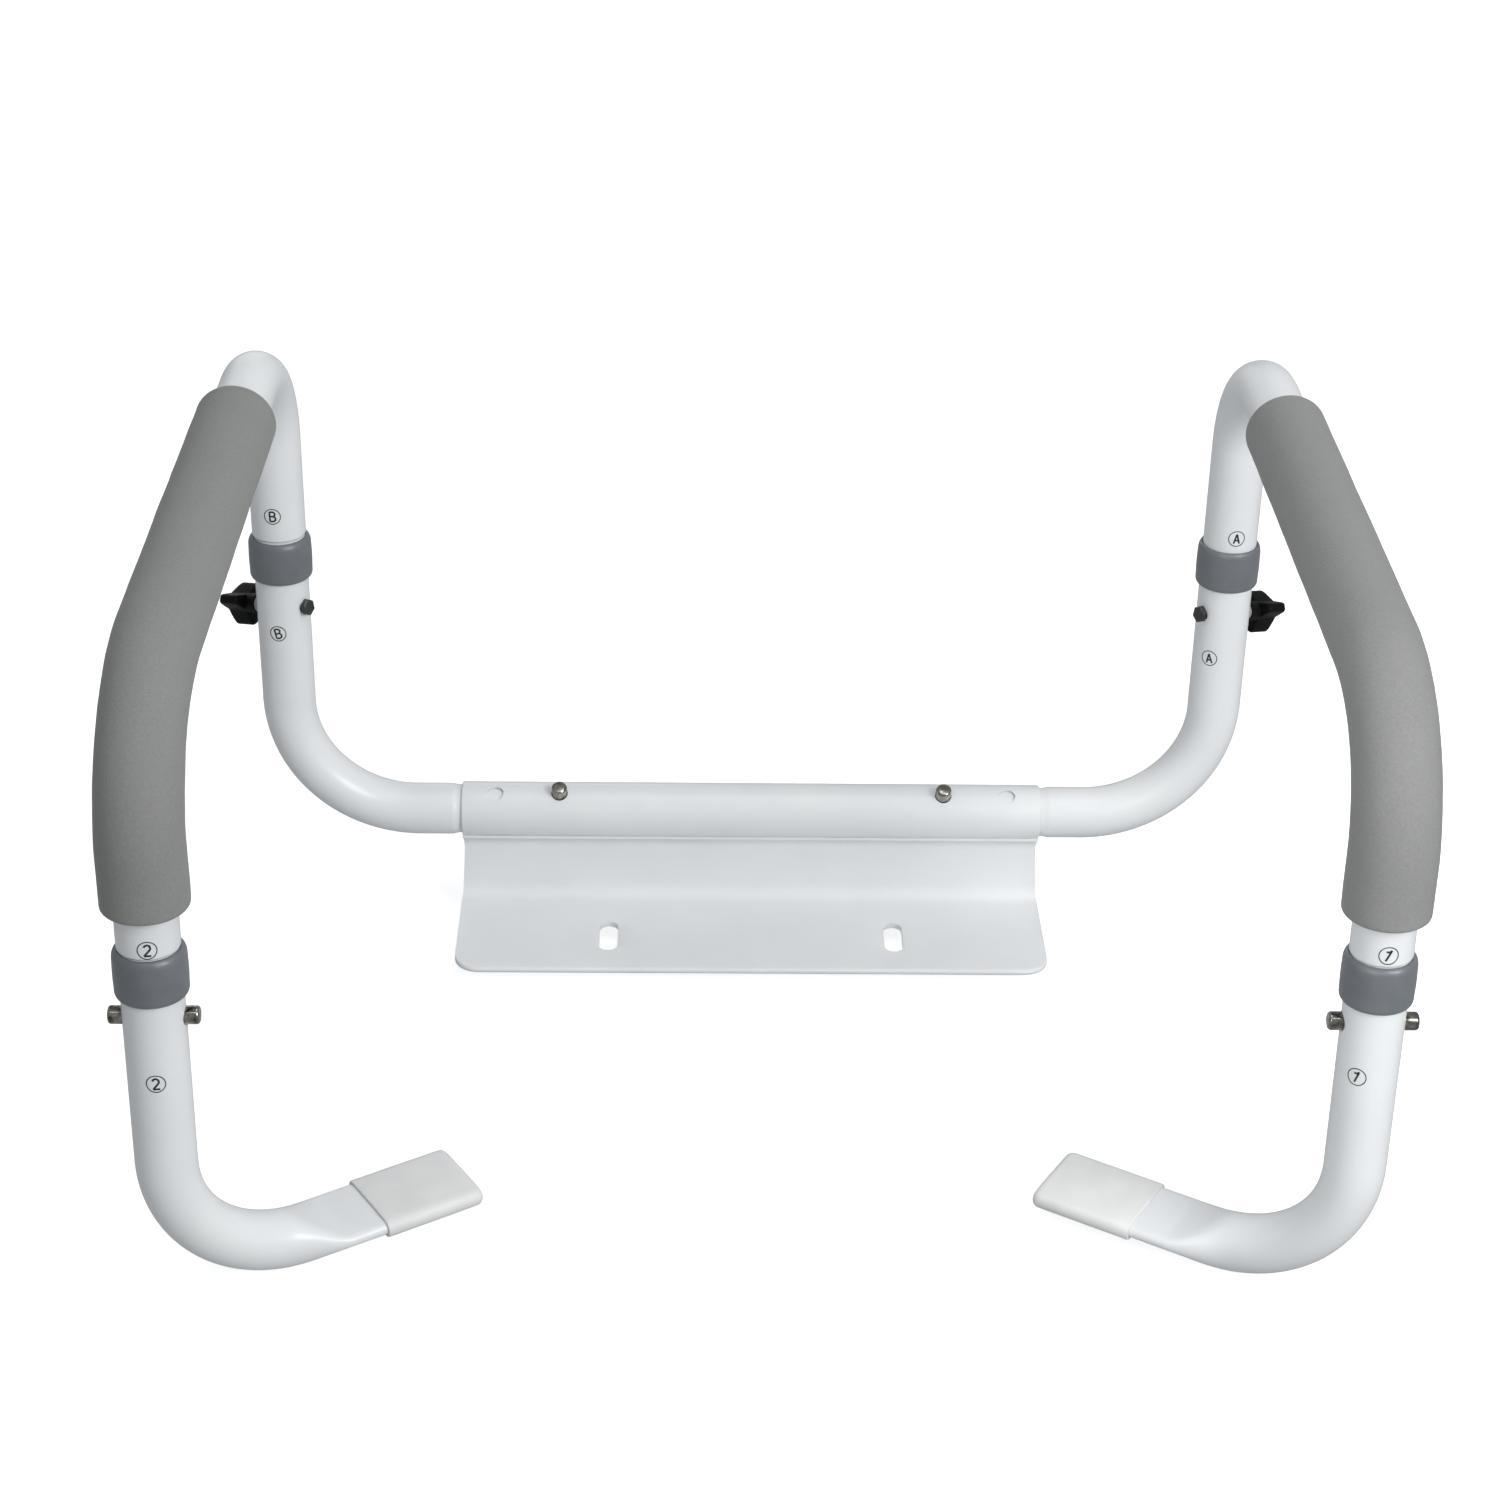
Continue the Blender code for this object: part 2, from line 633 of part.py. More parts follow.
def knob_outline():
    """Three blunt lobes, one of them straight down."""
    outline = []
    for i in range(KNOB_LOBES):
        for offset, radius in ((-0.27, KNOB_WAIST), (-0.07, KNOB_RADIUS), (0.07, KNOB_RADIUS), (0.27, KNOB_WAIST)):
            angle = 2 * math.pi * (i + offset) / KNOB_LOBES - math.pi / 2
            outline.append((radius * math.cos(angle), radius * math.sin(angle), 0))
    return outline


def make_knob(side):
    """A three-lobed knob on a round hub, with a blind socket for its threaded insert."""
    bm = bmesh.new()
    face = bm.faces.new([bm.verts.new(place) for place in knob_outline()])
    swept = bmesh.ops.extrude_face_region(bm, geom=[face])["geom"]
    top = [element for element in swept if isinstance(element, bmesh.types.BMVert)]
    bmesh.ops.translate(bm, verts=top, vec=(0, 0, KNOB_LENGTH))
    bmesh.ops.recalc_face_normals(bm, faces=bm.faces)
    origin = side.clamp_centre + side.clamp_axis * (KNOB_FACE + KNOB_HUB_LENGTH)
    item = placed(mesh_object(f"clamp_knob_{side.name}", bm), origin, side.clamp_axis)
    hub_start = side.clamp_centre + side.clamp_axis * KNOB_FACE
    hub = bar(f"knob_hub_{side.name}", KNOB_HUB_RADIUS, KNOB_HUB_LENGTH + KNOB_LENGTH / 2, 20)
    boolean(item, as_cutter(placed(hub, hub_start, side.clamp_axis)), "UNION")
    socket = INSERT_RADIUS + CLEARANCE
    reach = KNOB_FACE + KNOB_SOCKET
    drill(item, f"socket_{side.name}", socket, side.clamp_centre, side.clamp_axis, reach)
    publish(item, KNOB_PLASTIC, side.empty)
    profile = [
        (INSERT_RADIUS, KNOB_FACE + INSERT_LENGTH),
        (INSERT_RADIUS, KNOB_FACE),
        (INSERT_BORE, KNOB_FACE),
        (INSERT_BORE, KNOB_FACE + INSERT_LENGTH),
    ]
    insert = turned(f"knob_insert_{side.name}", profile, 12, closed=True)
    publish(placed(insert, side.clamp_centre, side.clamp_axis), BRASS, side.empty)


def make_side(name, sign):
    side = Side(name, sign)
    make_rear_lower_tube(side)
    make_arm_tube(side)
    make_foam_grip(side)
    make_front_lower_tube(side)
    make_foot_sleeve(side)
    make_collar(f"rear_collar_{name}", side.on_rear(REAR_COLLAR_Z), UP, side)
    make_collar(f"front_collar_{name}", side.on_front(FRONT_COLLAR_Z), -side.down, side)
    make_snap_locks(side)
    make_clamp_bolt(side)
    make_spacer(side)
    make_knob(side)


make_cross_tube()
make_plate()
for side_name, side_sign in SIDES:
    make_side(side_name, side_sign)
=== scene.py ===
# The looks of a toilet safety frame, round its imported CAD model. Metres, +Z up, -Y is the front.
# Left is -X. The driving lines of the tubes are repeated here; places come from the frame.

import json
import math

import bmesh
import bpy
from mathutils import Matrix, Vector, noise


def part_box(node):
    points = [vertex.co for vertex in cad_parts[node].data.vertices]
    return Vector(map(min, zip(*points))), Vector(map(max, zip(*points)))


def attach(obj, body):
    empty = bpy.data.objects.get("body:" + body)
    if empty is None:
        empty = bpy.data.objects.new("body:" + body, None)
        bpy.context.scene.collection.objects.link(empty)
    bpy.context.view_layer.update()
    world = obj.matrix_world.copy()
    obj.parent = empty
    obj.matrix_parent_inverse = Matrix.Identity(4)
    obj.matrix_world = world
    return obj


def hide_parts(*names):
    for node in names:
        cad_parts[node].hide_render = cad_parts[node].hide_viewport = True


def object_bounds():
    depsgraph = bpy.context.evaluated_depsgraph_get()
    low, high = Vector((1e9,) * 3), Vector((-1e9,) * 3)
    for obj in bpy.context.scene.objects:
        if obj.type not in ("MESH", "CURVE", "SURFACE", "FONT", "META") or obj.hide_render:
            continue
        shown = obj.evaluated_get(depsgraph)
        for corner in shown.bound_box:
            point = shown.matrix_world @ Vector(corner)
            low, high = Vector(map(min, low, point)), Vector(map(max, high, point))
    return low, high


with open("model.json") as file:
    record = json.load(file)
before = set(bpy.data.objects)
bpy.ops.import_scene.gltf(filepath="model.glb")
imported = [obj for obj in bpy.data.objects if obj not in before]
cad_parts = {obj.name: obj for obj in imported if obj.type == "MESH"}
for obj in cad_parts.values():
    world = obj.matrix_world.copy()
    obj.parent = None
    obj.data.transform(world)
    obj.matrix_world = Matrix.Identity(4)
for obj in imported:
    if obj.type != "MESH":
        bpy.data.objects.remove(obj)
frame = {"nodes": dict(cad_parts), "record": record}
cad_low, cad_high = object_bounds()

TUBE_RADIUS = 0.0127
WALL = 0.0012
SWAGED_RADIUS = 0.0111
NECK_RADIUS = 0.0121
NECK_GROOVE_DEPTH = 0.0010
NECK_GROOVE = ((0.0001, NECK_GROOVE_DEPTH), (0.0006, NECK_GROOVE_DEPTH), (0.0007, 0.0))
CROSS_RADIUS = 0.0135
SLIDER_RADIUS = 0.0120
ROUND_SIDES = 72
BEND_STEPS = 30
UP = Vector((0, 0, 1))

ARM_REAR_Z = 0.2958
ARM_FRONT_Z = 0.2646
ARM_REAR_RADIUS = 0.047
ARM_FRONT_RADIUS = 0.0657
REAR_LOWER_RADIUS = 0.061
FRONT_LEAN = 0.0083
FRONT_TOP = Vector((0.2414, -0.2605, ARM_FRONT_Z))
FOOT_AXIS_Z = 0.0049
FOOT_ANGLE = math.radians(31.8)
FOOT_BEND_RADIUS = 0.058
FOOT_RUN = 0.1305
FLAT_THICKNESS = 0.0064
STADIUM_TURN = 3.5  # how quickly a flattened outline's points go from one round end to the other
FLAT_LENGTH = 0.028
FLAT_LEAD = 0.013
SLEEVE_START = 0.0885
SLEEVE_LENGTH = 0.046
SLEEVE_WALL = 0.0012
SLEEVE_LIP = 0.0005
SLEEVE_NOSE = 0.0035
CLEARANCE = 0.0003

HOLE_RADIUS = 0.0041
CLAMP_HOLE_RADIUS = 0.0029
HOLE_PITCH = 0.03175
HOLE_AXIS = Vector((0, -math.cos(math.radians(65)), math.sin(math.radians(65))))

FOAM_RADIUS = 0.0177
FOAM_BORE = 0.0128
GRIP_REAR_GAP = 0.028
GRIP_FRONT_END_Z = 0.1825
GRIP_STRAIGHT_STEPS = 60
GRIP_BEND_STEPS = 48
GRIP_TAIL_STEPS = 8
GRIP_CUT = 0.0016  # the radius of the foam's cut ends
GRIP_CUT_STEPS = 6
GRIP_PINCH = 0.0004  # how much thinner the foam is in the bend
GRIP_SWELLS = ((45, 0.00022), (160, 0.00007))  # how often a metre, and how high, it is uneven


def middle(node):
    low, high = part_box(node)
    return (Vector(low) + Vector(high)) / 2


def joint(name):
    return next(item for item in frame["record"]["behaviour"]["joints"] if item["name"] == name)


CROSS_LOW, CROSS_HIGH = (Vector(corner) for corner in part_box("cross_tube"))
CROSS_AXIS = (CROSS_LOW + CROSS_HIGH) / 2
CROSS_HALF = (CROSS_HIGH.x - CROSS_LOW.x) / 2


# Mesh work --------------------------------------


def ease(share):
    share = min(max(share, 0.0), 1.0)
    return share * share * (3 - 2 * share)


def arc(before, corner, after, radius, steps):
    """The points of a bend of one radius that rounds off a corner."""
    back = (before - corner).normalized()
    ahead = (after - corner).normalized()
    half = back.angle(ahead) / 2
    start = corner + back * radius / math.tan(half)
    centre = corner + (back + ahead).normalized() * radius / math.sin(half)
    axis = back.cross(ahead).normalized()
    sweep = math.pi - 2 * half
    turn = [Matrix.Rotation(-sweep * i / steps, 3, axis) for i in range(steps + 1)]
    return [centre + rotation @ (start - centre) for rotation in turn]


def add_skin(bm, rings, wrap=False, caps=False):
    """Quads between rings of equally many points; wrap joins the last ring to the first."""
    loops = [[bm.verts.new(point) for point in ring] for ring in rings]
    pairs = list(zip(loops, loops[1:]))
    if wrap:
        pairs.append((loops[-1], loops[0]))
    for ring, following in pairs:
        for i in range(len(ring)):
            j = (i + 1) % len(ring)
            bm.faces.new((ring[i], ring[j], following[j], following[i]))
    if caps:
        bm.faces.new(loops[0])
        bm.faces.new(reversed(loops[-1]))


def finish_mesh(name, bm, sharp=35):
    bmesh.ops.remove_doubles(bm, verts=bm.verts, dist=0.000002)
    bmesh.ops.recalc_face_normals(bm, faces=bm.faces)
    mesh = bpy.data.meshes.new(name)
    bm.to_mesh(mesh)
    bm.free()
    piece = bpy.data.objects.new(name, mesh)
    bpy.context.scene.collection.objects.link(piece)
    mesh.shade_smooth()
    mesh.set_sharp_from_angle(angle=math.radians(sharp))
    return piece


def skin(name, rings, wrap=False, caps=False, sharp=35):
    bm = bmesh.new()
    add_skin(bm, rings, wrap, caps)
    return finish_mesh(name, bm, sharp)


def axes_round(axis):
    """Two unit vectors square to an axis and to each other; the second is as upright as can be."""
    axis = axis.normalized()
    upright = UP if abs(axis.z) < 0.9 else Vector((0, 1, 0))
    across = upright.cross(axis).normalized()
    return across, axis.cross(across)


def turned(name, profile, centre, axis, steps=ROUND_SIDES, wrap=False, sharp=35, phase=0.0):
    """A profile of (radius, height) swept round an axis through a centre."""
    axis = axis.normalized()
    across, upright = axes_round(axis)
    rings = []
    for radius, height in profile:
        ring = []
        for i in range(steps):
            angle = phase + 2 * math.pi * i / steps
            spoke = across * math.cos(angle) + upright * math.sin(angle)
            ring.append(centre + axis * height + spoke * radius)
        rings.append(ring)
    return skin(name, rings, wrap=wrap, sharp=sharp)


def bow(centre, radii, start, end, steps=14):
    """Points on an ellipse from one angle to another, in degrees."""
    points = []
    for i in range(steps + 1):
        angle = math.radians(start + (end - start) * i / steps)
        x = centre[0] + radii[0] * math.cos(angle)
        points.append((x, centre[1] + radii[1] * math.sin(angle)))
    return points


def corner_round(radius, height, towards_radius, towards_height, size):
    """Profile points that round off a corner of a turned shape with a quarter circle.

    towards_radius and towards_height say on which side of the corner the body is, as -1 or 1.
    """
    across = towards_radius * size
    tall = towards_height * size
    return bow((radius + across, height + tall), (-across, -tall), 0, 90, 5)


def apply_modifiers(piece, sharp=35):
    graph = bpy.context.evaluated_depsgraph_get()
    mesh = bpy.data.meshes.new_from_object(piece.evaluated_get(graph))
    piece.modifiers.clear()
    piece.data = mesh
    mesh.shade_smooth()
    mesh.set_sharp_from_angle(angle=math.radians(sharp))


def combine(piece, tools, operation="DIFFERENCE"):
    """Cut tools out of a piece, or join them to it, and throw the tools away."""
    for tool in tools:
        modifier = piece.modifiers.new(tool.name, "BOOLEAN")
        modifier.operation = operation
        modifier.solver = "EXACT"
        modifier.object = tool
    apply_modifiers(piece)
    for tool in tools:
        bpy.data.objects.remove(tool, do_unlink=True)


def bevel(piece, width, segments=3, angle=35):
    modifier = piece.modifiers.new("rounded edges", "BEVEL")
    modifier.width = width
    modifier.segments = segments
    modifier.limit_method = "ANGLE"
    modifier.angle_limit = math.radians(angle)
    apply_modifiers(piece)


def drill_bit(start, axis, radius, length, steps=40):
    profile = [(0, 0), (radius, 0), (radius, length), (0, length)]
    return turned("drill_bit", profile, start, axis, steps)


# Tubes ------------------------------------------

OVAL = 0.035  # how much narrower a tube is in the middle of a bend
OVAL_ONSET = 0.7  # how fast the oval comes on at a bend's ends
ARM_REAR_REACH = 0.0655
FRONT_GAP = 0.0018
COLLAR_RADIUS = 0.0148
COLLAR_HEIGHT = 0.0202
COLLAR_BORE = 0.0130
COLLAR_RISE = 0.0006
COLLAR_SHOULDER = 0.0038
COLLAR_BARREL = ((0.00012, 0.002), (0.00015, -0.002), (0.0, -0.006))
COLLAR_FOOT = 0.0021


def route(corners, radii):
    """Places along straight runs and bends, each with how deep into a bend it is, 0 to 1."""
    path = [(corners[0], 0.0)]
    for before, corner, after, radius in zip(corners, corners[1:], corners[2:], radii):
        points = arc(before, corner, after, radius, BEND_STEPS)
        for i, point in enumerate(points):
            path.append((point, math.sin(math.pi * i / BEND_STEPS) ** OVAL_ONSET))
    path.append((corners[-1], 0.0))
    return path


def tube_rings(stations, normal, thinner=0.0):
    """Rings round (place, radius in the bend's plane, radius square to it) stations."""
    rings = []
    for i, (place, flat, tall) in enumerate(stations):
        before = stations[max(i - 1, 0)][0]
        after = stations[min(i + 1, len(stations) - 1)][0]
        tangent = (after - before).normalized()
        side = tangent.cross(normal).normalized()
        square = side.cross(tangent)
        ring = []
        for k in range(ROUND_SIDES):
            angle = 2 * math.pi * k / ROUND_SIDES
            aside = side * (flat - thinner) * math.cos(angle)
            ring.append(place + aside + square * (tall - thinner) * math.sin(angle))
        rings.append(ring)
    return rings


def hollow_tube(name, stations, normal, wall=WALL):
    outer = tube_rings(stations, normal)
    inner = tube_rings(stations, normal, thinner=wall)
    return skin(name, outer + inner[::-1], wrap=True)


def bent(path, radius):
    """Stations of a tube that goes slightly oval in its bends."""
    narrow = radius * OVAL
    wide = radius * OVAL / 2
    return [(place, radius - narrow * share, radius + wide * share) for place, share in path]


def step(start, direction, length, radius_from, radius_to, steps=6):
    """Stations over which a tube's radius changes smoothly."""
    stations = []
    for i in range(steps + 1):
        share = i / steps
        radius = radius_from + (radius_to - radius_from) * ease(share)
        stations.append((start + direction * length * share, radius, radius))
    return stations


class Side:
    """The lines of one side frame. sign is -1 on the left and 1 on the right."""

    def __init__(self, name):
        self.name = name
        self.body = f"side_{name}"
        self.rear_collar = middle(f"rear_collar_{name}")
        self.front_collar = middle(f"front_collar_{name}")
        self.sign = math.copysign(1, self.rear_collar.x)
        self.outward = Vector((self.sign, 0, 0))
        self.rear_foot = Vector((self.rear_collar.x, CROSS_AXIS.y, CROSS_AXIS.z))
        self.rear_top = self.on_rear(ARM_REAR_Z)
        self.front_top = Vector((self.sign * FRONT_TOP.x, FRONT_TOP.y, FRONT_TOP.z))
        run = self.front_top - self.rear_top
        ahead = Vector((run.x, run.y, 0)).normalized()
        self.down = (ahead * FRONT_LEAN - UP * (ARM_FRONT_Z - FOOT_AXIS_Z)).normalized()
        self.arm_normal = ahead.cross(UP)
        self.foot_corner = self.on_front(FOOT_AXIS_Z)
        self.foot_run = Vector((-self.sign * math.cos(FOOT_ANGLE), math.sin(FOOT_ANGLE), 0))
        self.foot_across = self.foot_run.cross(UP).normalized()
        clamp = joint(f"knob_turn_{name}")
        self.clamp_centre = Vector(clamp["pos_m"])
        self.clamp_axis = Vector(clamp["axis"]).normalized()
        self.rear_button = middle(f"rear_snap_button_{name}")
        self.hole_x = self.rear_button.x
        outer = middle(f"front_snap_button_outer_{name}")
        inner = middle(f"front_snap_button_inner_{name}")
        self.front_button = (outer + inner) / 2
        self.rear_gap = 0.0025 if self.sign < 0 else -0.0010

    def on_rear(self, height):
        return Vector((self.rear_collar.x, self.rear_collar.y, height))

    def on_front(self, height):
        """The front upright's axis at a height."""
        return self.front_top + self.down * (height - self.front_top.z) / self.down.z


SIDES = [Side("left"), Side("right")]


def put(piece, body, material, nodes=()):
    """Give a piece its material, material slot and body, and hide the CAD nodes that it stands
    for.
    """
    piece.data.materials.clear()
    piece.data.materials.append(material)
    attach(piece, body)
    if nodes:
        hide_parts(*nodes)
    return piece


# Materials --------------------------------------


class Finish:
    """A Principled material that is put together from procedural nodes."""

    def __init__(
        self, name, roughness, metallic=0.0, specular=0.5, coat=0.0, coat_roughness=0.1, sheen=0.0
    ):
        self.material = bpy.data.materials.new(name)
        self.material.use_nodes = True
        self.nodes = self.material.node_tree.nodes
        self.links = self.material.node_tree.links
        self.shader = self.nodes["Principled BSDF"]
        self.shader.inputs["Roughness"].default_value = roughness
        self.shader.inputs["Metallic"].default_value = metallic
        self.shader.inputs["Specular IOR Level"].default_value = specular
        self.shader.inputs["Coat Weight"].default_value = coat
        self.shader.inputs["Coat Roughness"].default_value = coat_roughness
        self.shader.inputs["Sheen Weight"].default_value = sheen
        self.shader.inputs["Sheen Roughness"].default_value = 0.5
        self.place = self.nodes.new("ShaderNodeTexCoord").outputs["Object"]

    def noise(self, size, detail=2.0, roughness=0.5, stretch=None):
        """Noise with features about size metres across, drawn out along an axis by stretch."""
        texture = self.nodes.new("ShaderNodeTexNoise")
        texture.inputs["Scale"].default_value = 1 / size
        texture.inputs["Detail"].default_value = detail
        texture.inputs["Roughness"].default_value = roughness
        place = self.place
        if stretch:
            mapping = self.nodes.new("ShaderNodeMapping")
            mapping.inputs["Scale"].default_value = stretch
            self.links.new(place, mapping.inputs["Vector"])
            place = mapping.outputs["Vector"]
        self.links.new(place, texture.inputs["Vector"])
        return texture.outputs["Fac"]

    def cells(self, size):
        texture = self.nodes.new("ShaderNodeTexVoronoi")
        texture.inputs["Scale"].default_value = 1 / size
        self.links.new(self.place, texture.inputs["Vector"])
        return texture.outputs["Distance"]

    def spread(self, value, low, high, start=0.35, end=0.65):
        """A value mapped onto a range."""
        node = self.nodes.new("ShaderNodeMapRange")
        node.inputs["From Min"].default_value = start
        node.inputs["From Max"].default_value = end
        node.inputs["To Min"].default_value = low
        node.inputs["To Max"].default_value = high
        self.links.new(value, node.inputs["Value"])
        return node.outputs["Result"]

    def between(self, factor, first, second):
        """One of two colours, by a factor."""
        node = self.nodes.new("ShaderNodeMix")
        node.data_type = "RGBA"
        self.links.new(factor, node.inputs["Factor"])
        for socket, colour in (("A", first), ("B", second)):
            colours = (entry for entry in node.inputs if entry.type == "RGBA")
            target = next(entry for entry in colours if entry.name == socket)
            if isinstance(colour, tuple):
                target.default_value = (*colour, 1)
            else:
                self.links.new(colour, target)
        return next(entry for entry in node.outputs if entry.type == "RGBA")

    def colour(self, value):
        self.links.new(value, self.shader.inputs["Base Color"])

    def mottled(self, value, first, second):
        """A base colour that drifts from one colour to another with a noise value."""
        self.colour(self.between(self.spread(value, 0, 1), first, second))

    def glow(self, strength):
        """An even white light of the surface's own."""
        self.shader.inputs["Emission Color"].default_value = (1, 1, 1, 1)
        self.shader.inputs["Emission Strength"].default_value = strength

    def rough(self, value):
        self.links.new(value, self.shader.inputs["Roughness"])

    def bump(self, *layers):
        """Bumps of (value, height in metres, strength), one on top of another."""
        normal = None
        for value, height, strength in layers:
            node = self.nodes.new("ShaderNodeBump")
            node.inputs["Distance"].default_value = height
            node.inputs["Strength"].default_value = strength
            self.links.new(value, node.inputs["Height"])
            if normal:
                self.links.new(normal, node.inputs["Normal"])
            normal = node.outputs["Normal"]
        self.links.new(normal, self.shader.inputs["Normal"])
        return self.material


def powder_coat():
    finish = Finish("white_powder_coat", 0.34, specular=0.42, coat=0.15, coat_roughness=0.15)
    broad = finish.noise(0.04, 3)
    finish.mottled(broad, (0.795, 0.812, 0.830), (0.825, 0.836, 0.846))
    finish.rough(finish.spread(finish.noise(0.02, 2), 0.31, 0.37))
    return finish.bump((finish.noise(0.003, 0), 0.00002, 0.2))


def grey_foam():
    finish = Finish("grey_foam", 0.95, specular=0.2, sheen=0.15)
    grain = finish.noise(0.0009, 3, 0.7)
    patch = finish.noise(0.02, 4, 0.6)
    speck = finish.spread(grain, 0, 1, 0.3, 0.7)
    tone = finish.between(speck, (0.222, 0.222, 0.221), (0.278, 0.278, 0.276))
    finish.colour(finish.between(finish.spread(patch, 0.0, 0.25), tone, (0.272, 0.272, 0.269)))
    finish.rough(finish.spread(grain, 0.86, 0.99))
    return finish.bump((finish.cells(0.0009), 0.00012, 0.4), (finish.noise(0.003, 3), 0.0001, 0.2))


def collar_plastic():
    finish = Finish("slate_plastic", 0.40, specular=0.80)
    texture = finish.noise(0.0008, 2)
    broad = finish.noise(0.01, 3)
    finish.mottled(broad, (0.136, 0.148, 0.164), (0.154, 0.167, 0.184))
    finish.rough(finish.spread(texture, 0.36, 0.45))
    return finish.bump((texture, 0.00003, 0.3))


def white_plastic():
    finish = Finish("white_plastic", 0.42, specular=0.4)
    texture = finish.noise(0.0009, 2)
    broad = finish.noise(0.012, 3)
    finish.mottled(broad, (0.755, 0.762, 0.760), (0.795, 0.800, 0.795))
    finish.rough(finish.spread(broad, 0.38, 0.5))
    return finish.bump((texture, 0.00002, 0.3))


def pale_plastic():
    finish = Finish("pale_plastic", 0.5, specular=0.4)
    texture = finish.noise(0.0008, 2)
    finish.mottled(texture, (0.30, 0.30, 0.29), (0.38, 0.38, 0.37))
    finish.rough(finish.spread(texture, 0.42, 0.55))
    return finish.bump((texture, 0.00003, 0.3))


def black_plastic():
    finish = Finish("black_plastic", 0.5, specular=0.12)
    spark = finish.noise(0.0006, 2)
    broad = finish.noise(0.006, 3)
    worn = finish.nodes.new("ShaderNodeNewGeometry").outputs["Pointiness"]
    drift = finish.spread(broad, 0, 1)
    body = finish.between(drift, (0.0022, 0.0022, 0.0024), (0.0036, 0.0036, 0.0040))
    edges = finish.spread(worn, 0, 0.4, 0.55, 0.7)
    finish.colour(finish.between(edges, body, (0.008, 0.008, 0.008)))
    finish.rough(finish.spread(spark, 0.42, 0.55))
    return finish.bump((spark, 0.00004, 0.4))


def metal(name, first, second, roughness, scratch):
    """A bare or plated metal with fine drawn-out scratches and slight stains; on the nickel plate
    the wide dark and bright patches are painted reflection.
    """
    finish = Finish(name, roughness, metallic=1.0)
    line = finish.noise(0.0009, 2, 0.6, stretch=scratch)
    # slight stains on most metals; on the nickel plate these patches are painted reflection
    stain_and_painted_reflection = finish.noise(0.004, 4, 0.6)
    finish.mottled(stain_and_painted_reflection, first, second)
    finish.rough(finish.spread(line, roughness * 0.75, roughness * 1.35))
    return finish.bump((line, 0.00001, 0.2))


def ink():
    finish = Finish("black_ink", 0.5, specular=0.3)
    grain = finish.noise(0.0004, 3)
    finish.mottled(grain, (0.016, 0.018, 0.022), (0.04, 0.044, 0.05))
    finish.rough(finish.spread(grain, 0.4, 0.6))
    return finish.bump((grain, 0.00001, 0.3))


POWDER_COAT = powder_coat()
FOAM = grey_foam()
COLLAR_PLASTIC = collar_plastic()
SLEEVE_PLASTIC = white_plastic()
SPACER_PLASTIC = pale_plastic()
KNOB_PLASTIC = black_plastic()
# The nickel's colours run from near black to pale: its patches are painted reflection, dark and
# bright bands that stand in for what the plated pins reflect.
NICKEL = metal("nickel_plate", (0.075, 0.07, 0.06), (0.50, 0.475, 0.43), 0.13, (1, 1, 6))
SPRING_STEEL = metal("spring_steel", (0.40, 0.40, 0.41), (0.50, 0.50, 0.51), 0.32, (1, 6, 1))
BLACK_STEEL = metal("black_steel", (0.075, 0.078, 0.078), (0.11, 0.114, 0.112), 0.40, (1, 6, 1))
BRASS = metal("brass", (0.70, 0.50, 0.20), (0.76, 0.57, 0.27), 0.3, (1, 1, 6))
INK = ink()


# Cross tube and plate ---------------------------

EDGE = 0.0007


def hole_bits():
    bits = []
    for side in SIDES:
        for x in (side.hole_x, side.hole_x + side.sign * HOLE_PITCH):
            start = Vector((x, CROSS_AXIS.y, CROSS_AXIS.z))
            bits.append(drill_bit(start, HOLE_AXIS, HOLE_RADIUS, CROSS_RADIUS * 1.5))
    return bits


def make_cross_tube():
    inner = CROSS_RADIUS - WALL
    profile = corner_round(CROSS_RADIUS, CROSS_HALF, -1, -1, EDGE)
    profile += reversed(corner_round(inner, CROSS_HALF, 1, -1, EDGE / 2))
    profile += corner_round(inner, -CROSS_HALF, 1, 1, EDGE / 2)
    profile += reversed(corner_round(CROSS_RADIUS, -CROSS_HALF, -1, 1, EDGE))
    tube = turned("cross_tube_coated", profile, CROSS_AXIS, Vector((1, 0, 0)), steps=96, wrap=True)
    combine(tube, hole_bits())
    put(tube, "mount", POWDER_COAT, ["cross_tube"])


PLATE_THICKNESS = 0.003
PLATE_WEB_TOP_Y = 0.0455
PLATE_WEB_FOOT_Y = 0.0395
PLATE_BEND_RADIUS = 0.010
PLATE_CORNER = 0.012
PLATE_FILLET = 0.0065
PLATE_FILLET_SHARE = 0.75  # how much of the weld's fillet lies on each face of the web
PLATE_WEB_STEPS = 12
PLATE_WEB_STEP = 0.0007
PLATE_BEND_STEPS = 16
PLATE_FOOT_STEPS = 24
PLATE_KNEE = PLATE_WEB_STEPS + PLATE_BEND_STEPS  # the station where the web's bend ends
PLATE_WAIST = 0.0007
PLATE_WAIST_HEIGHT = 0.016
PLATE_FLARE = 0.0008
PLATE_FLARE_LENGTH = 0.012
SEAT_BOLT_SPACING = 0.140
SLOT_WIDTH = 0.009
SLOT_LENGTH = 0.026


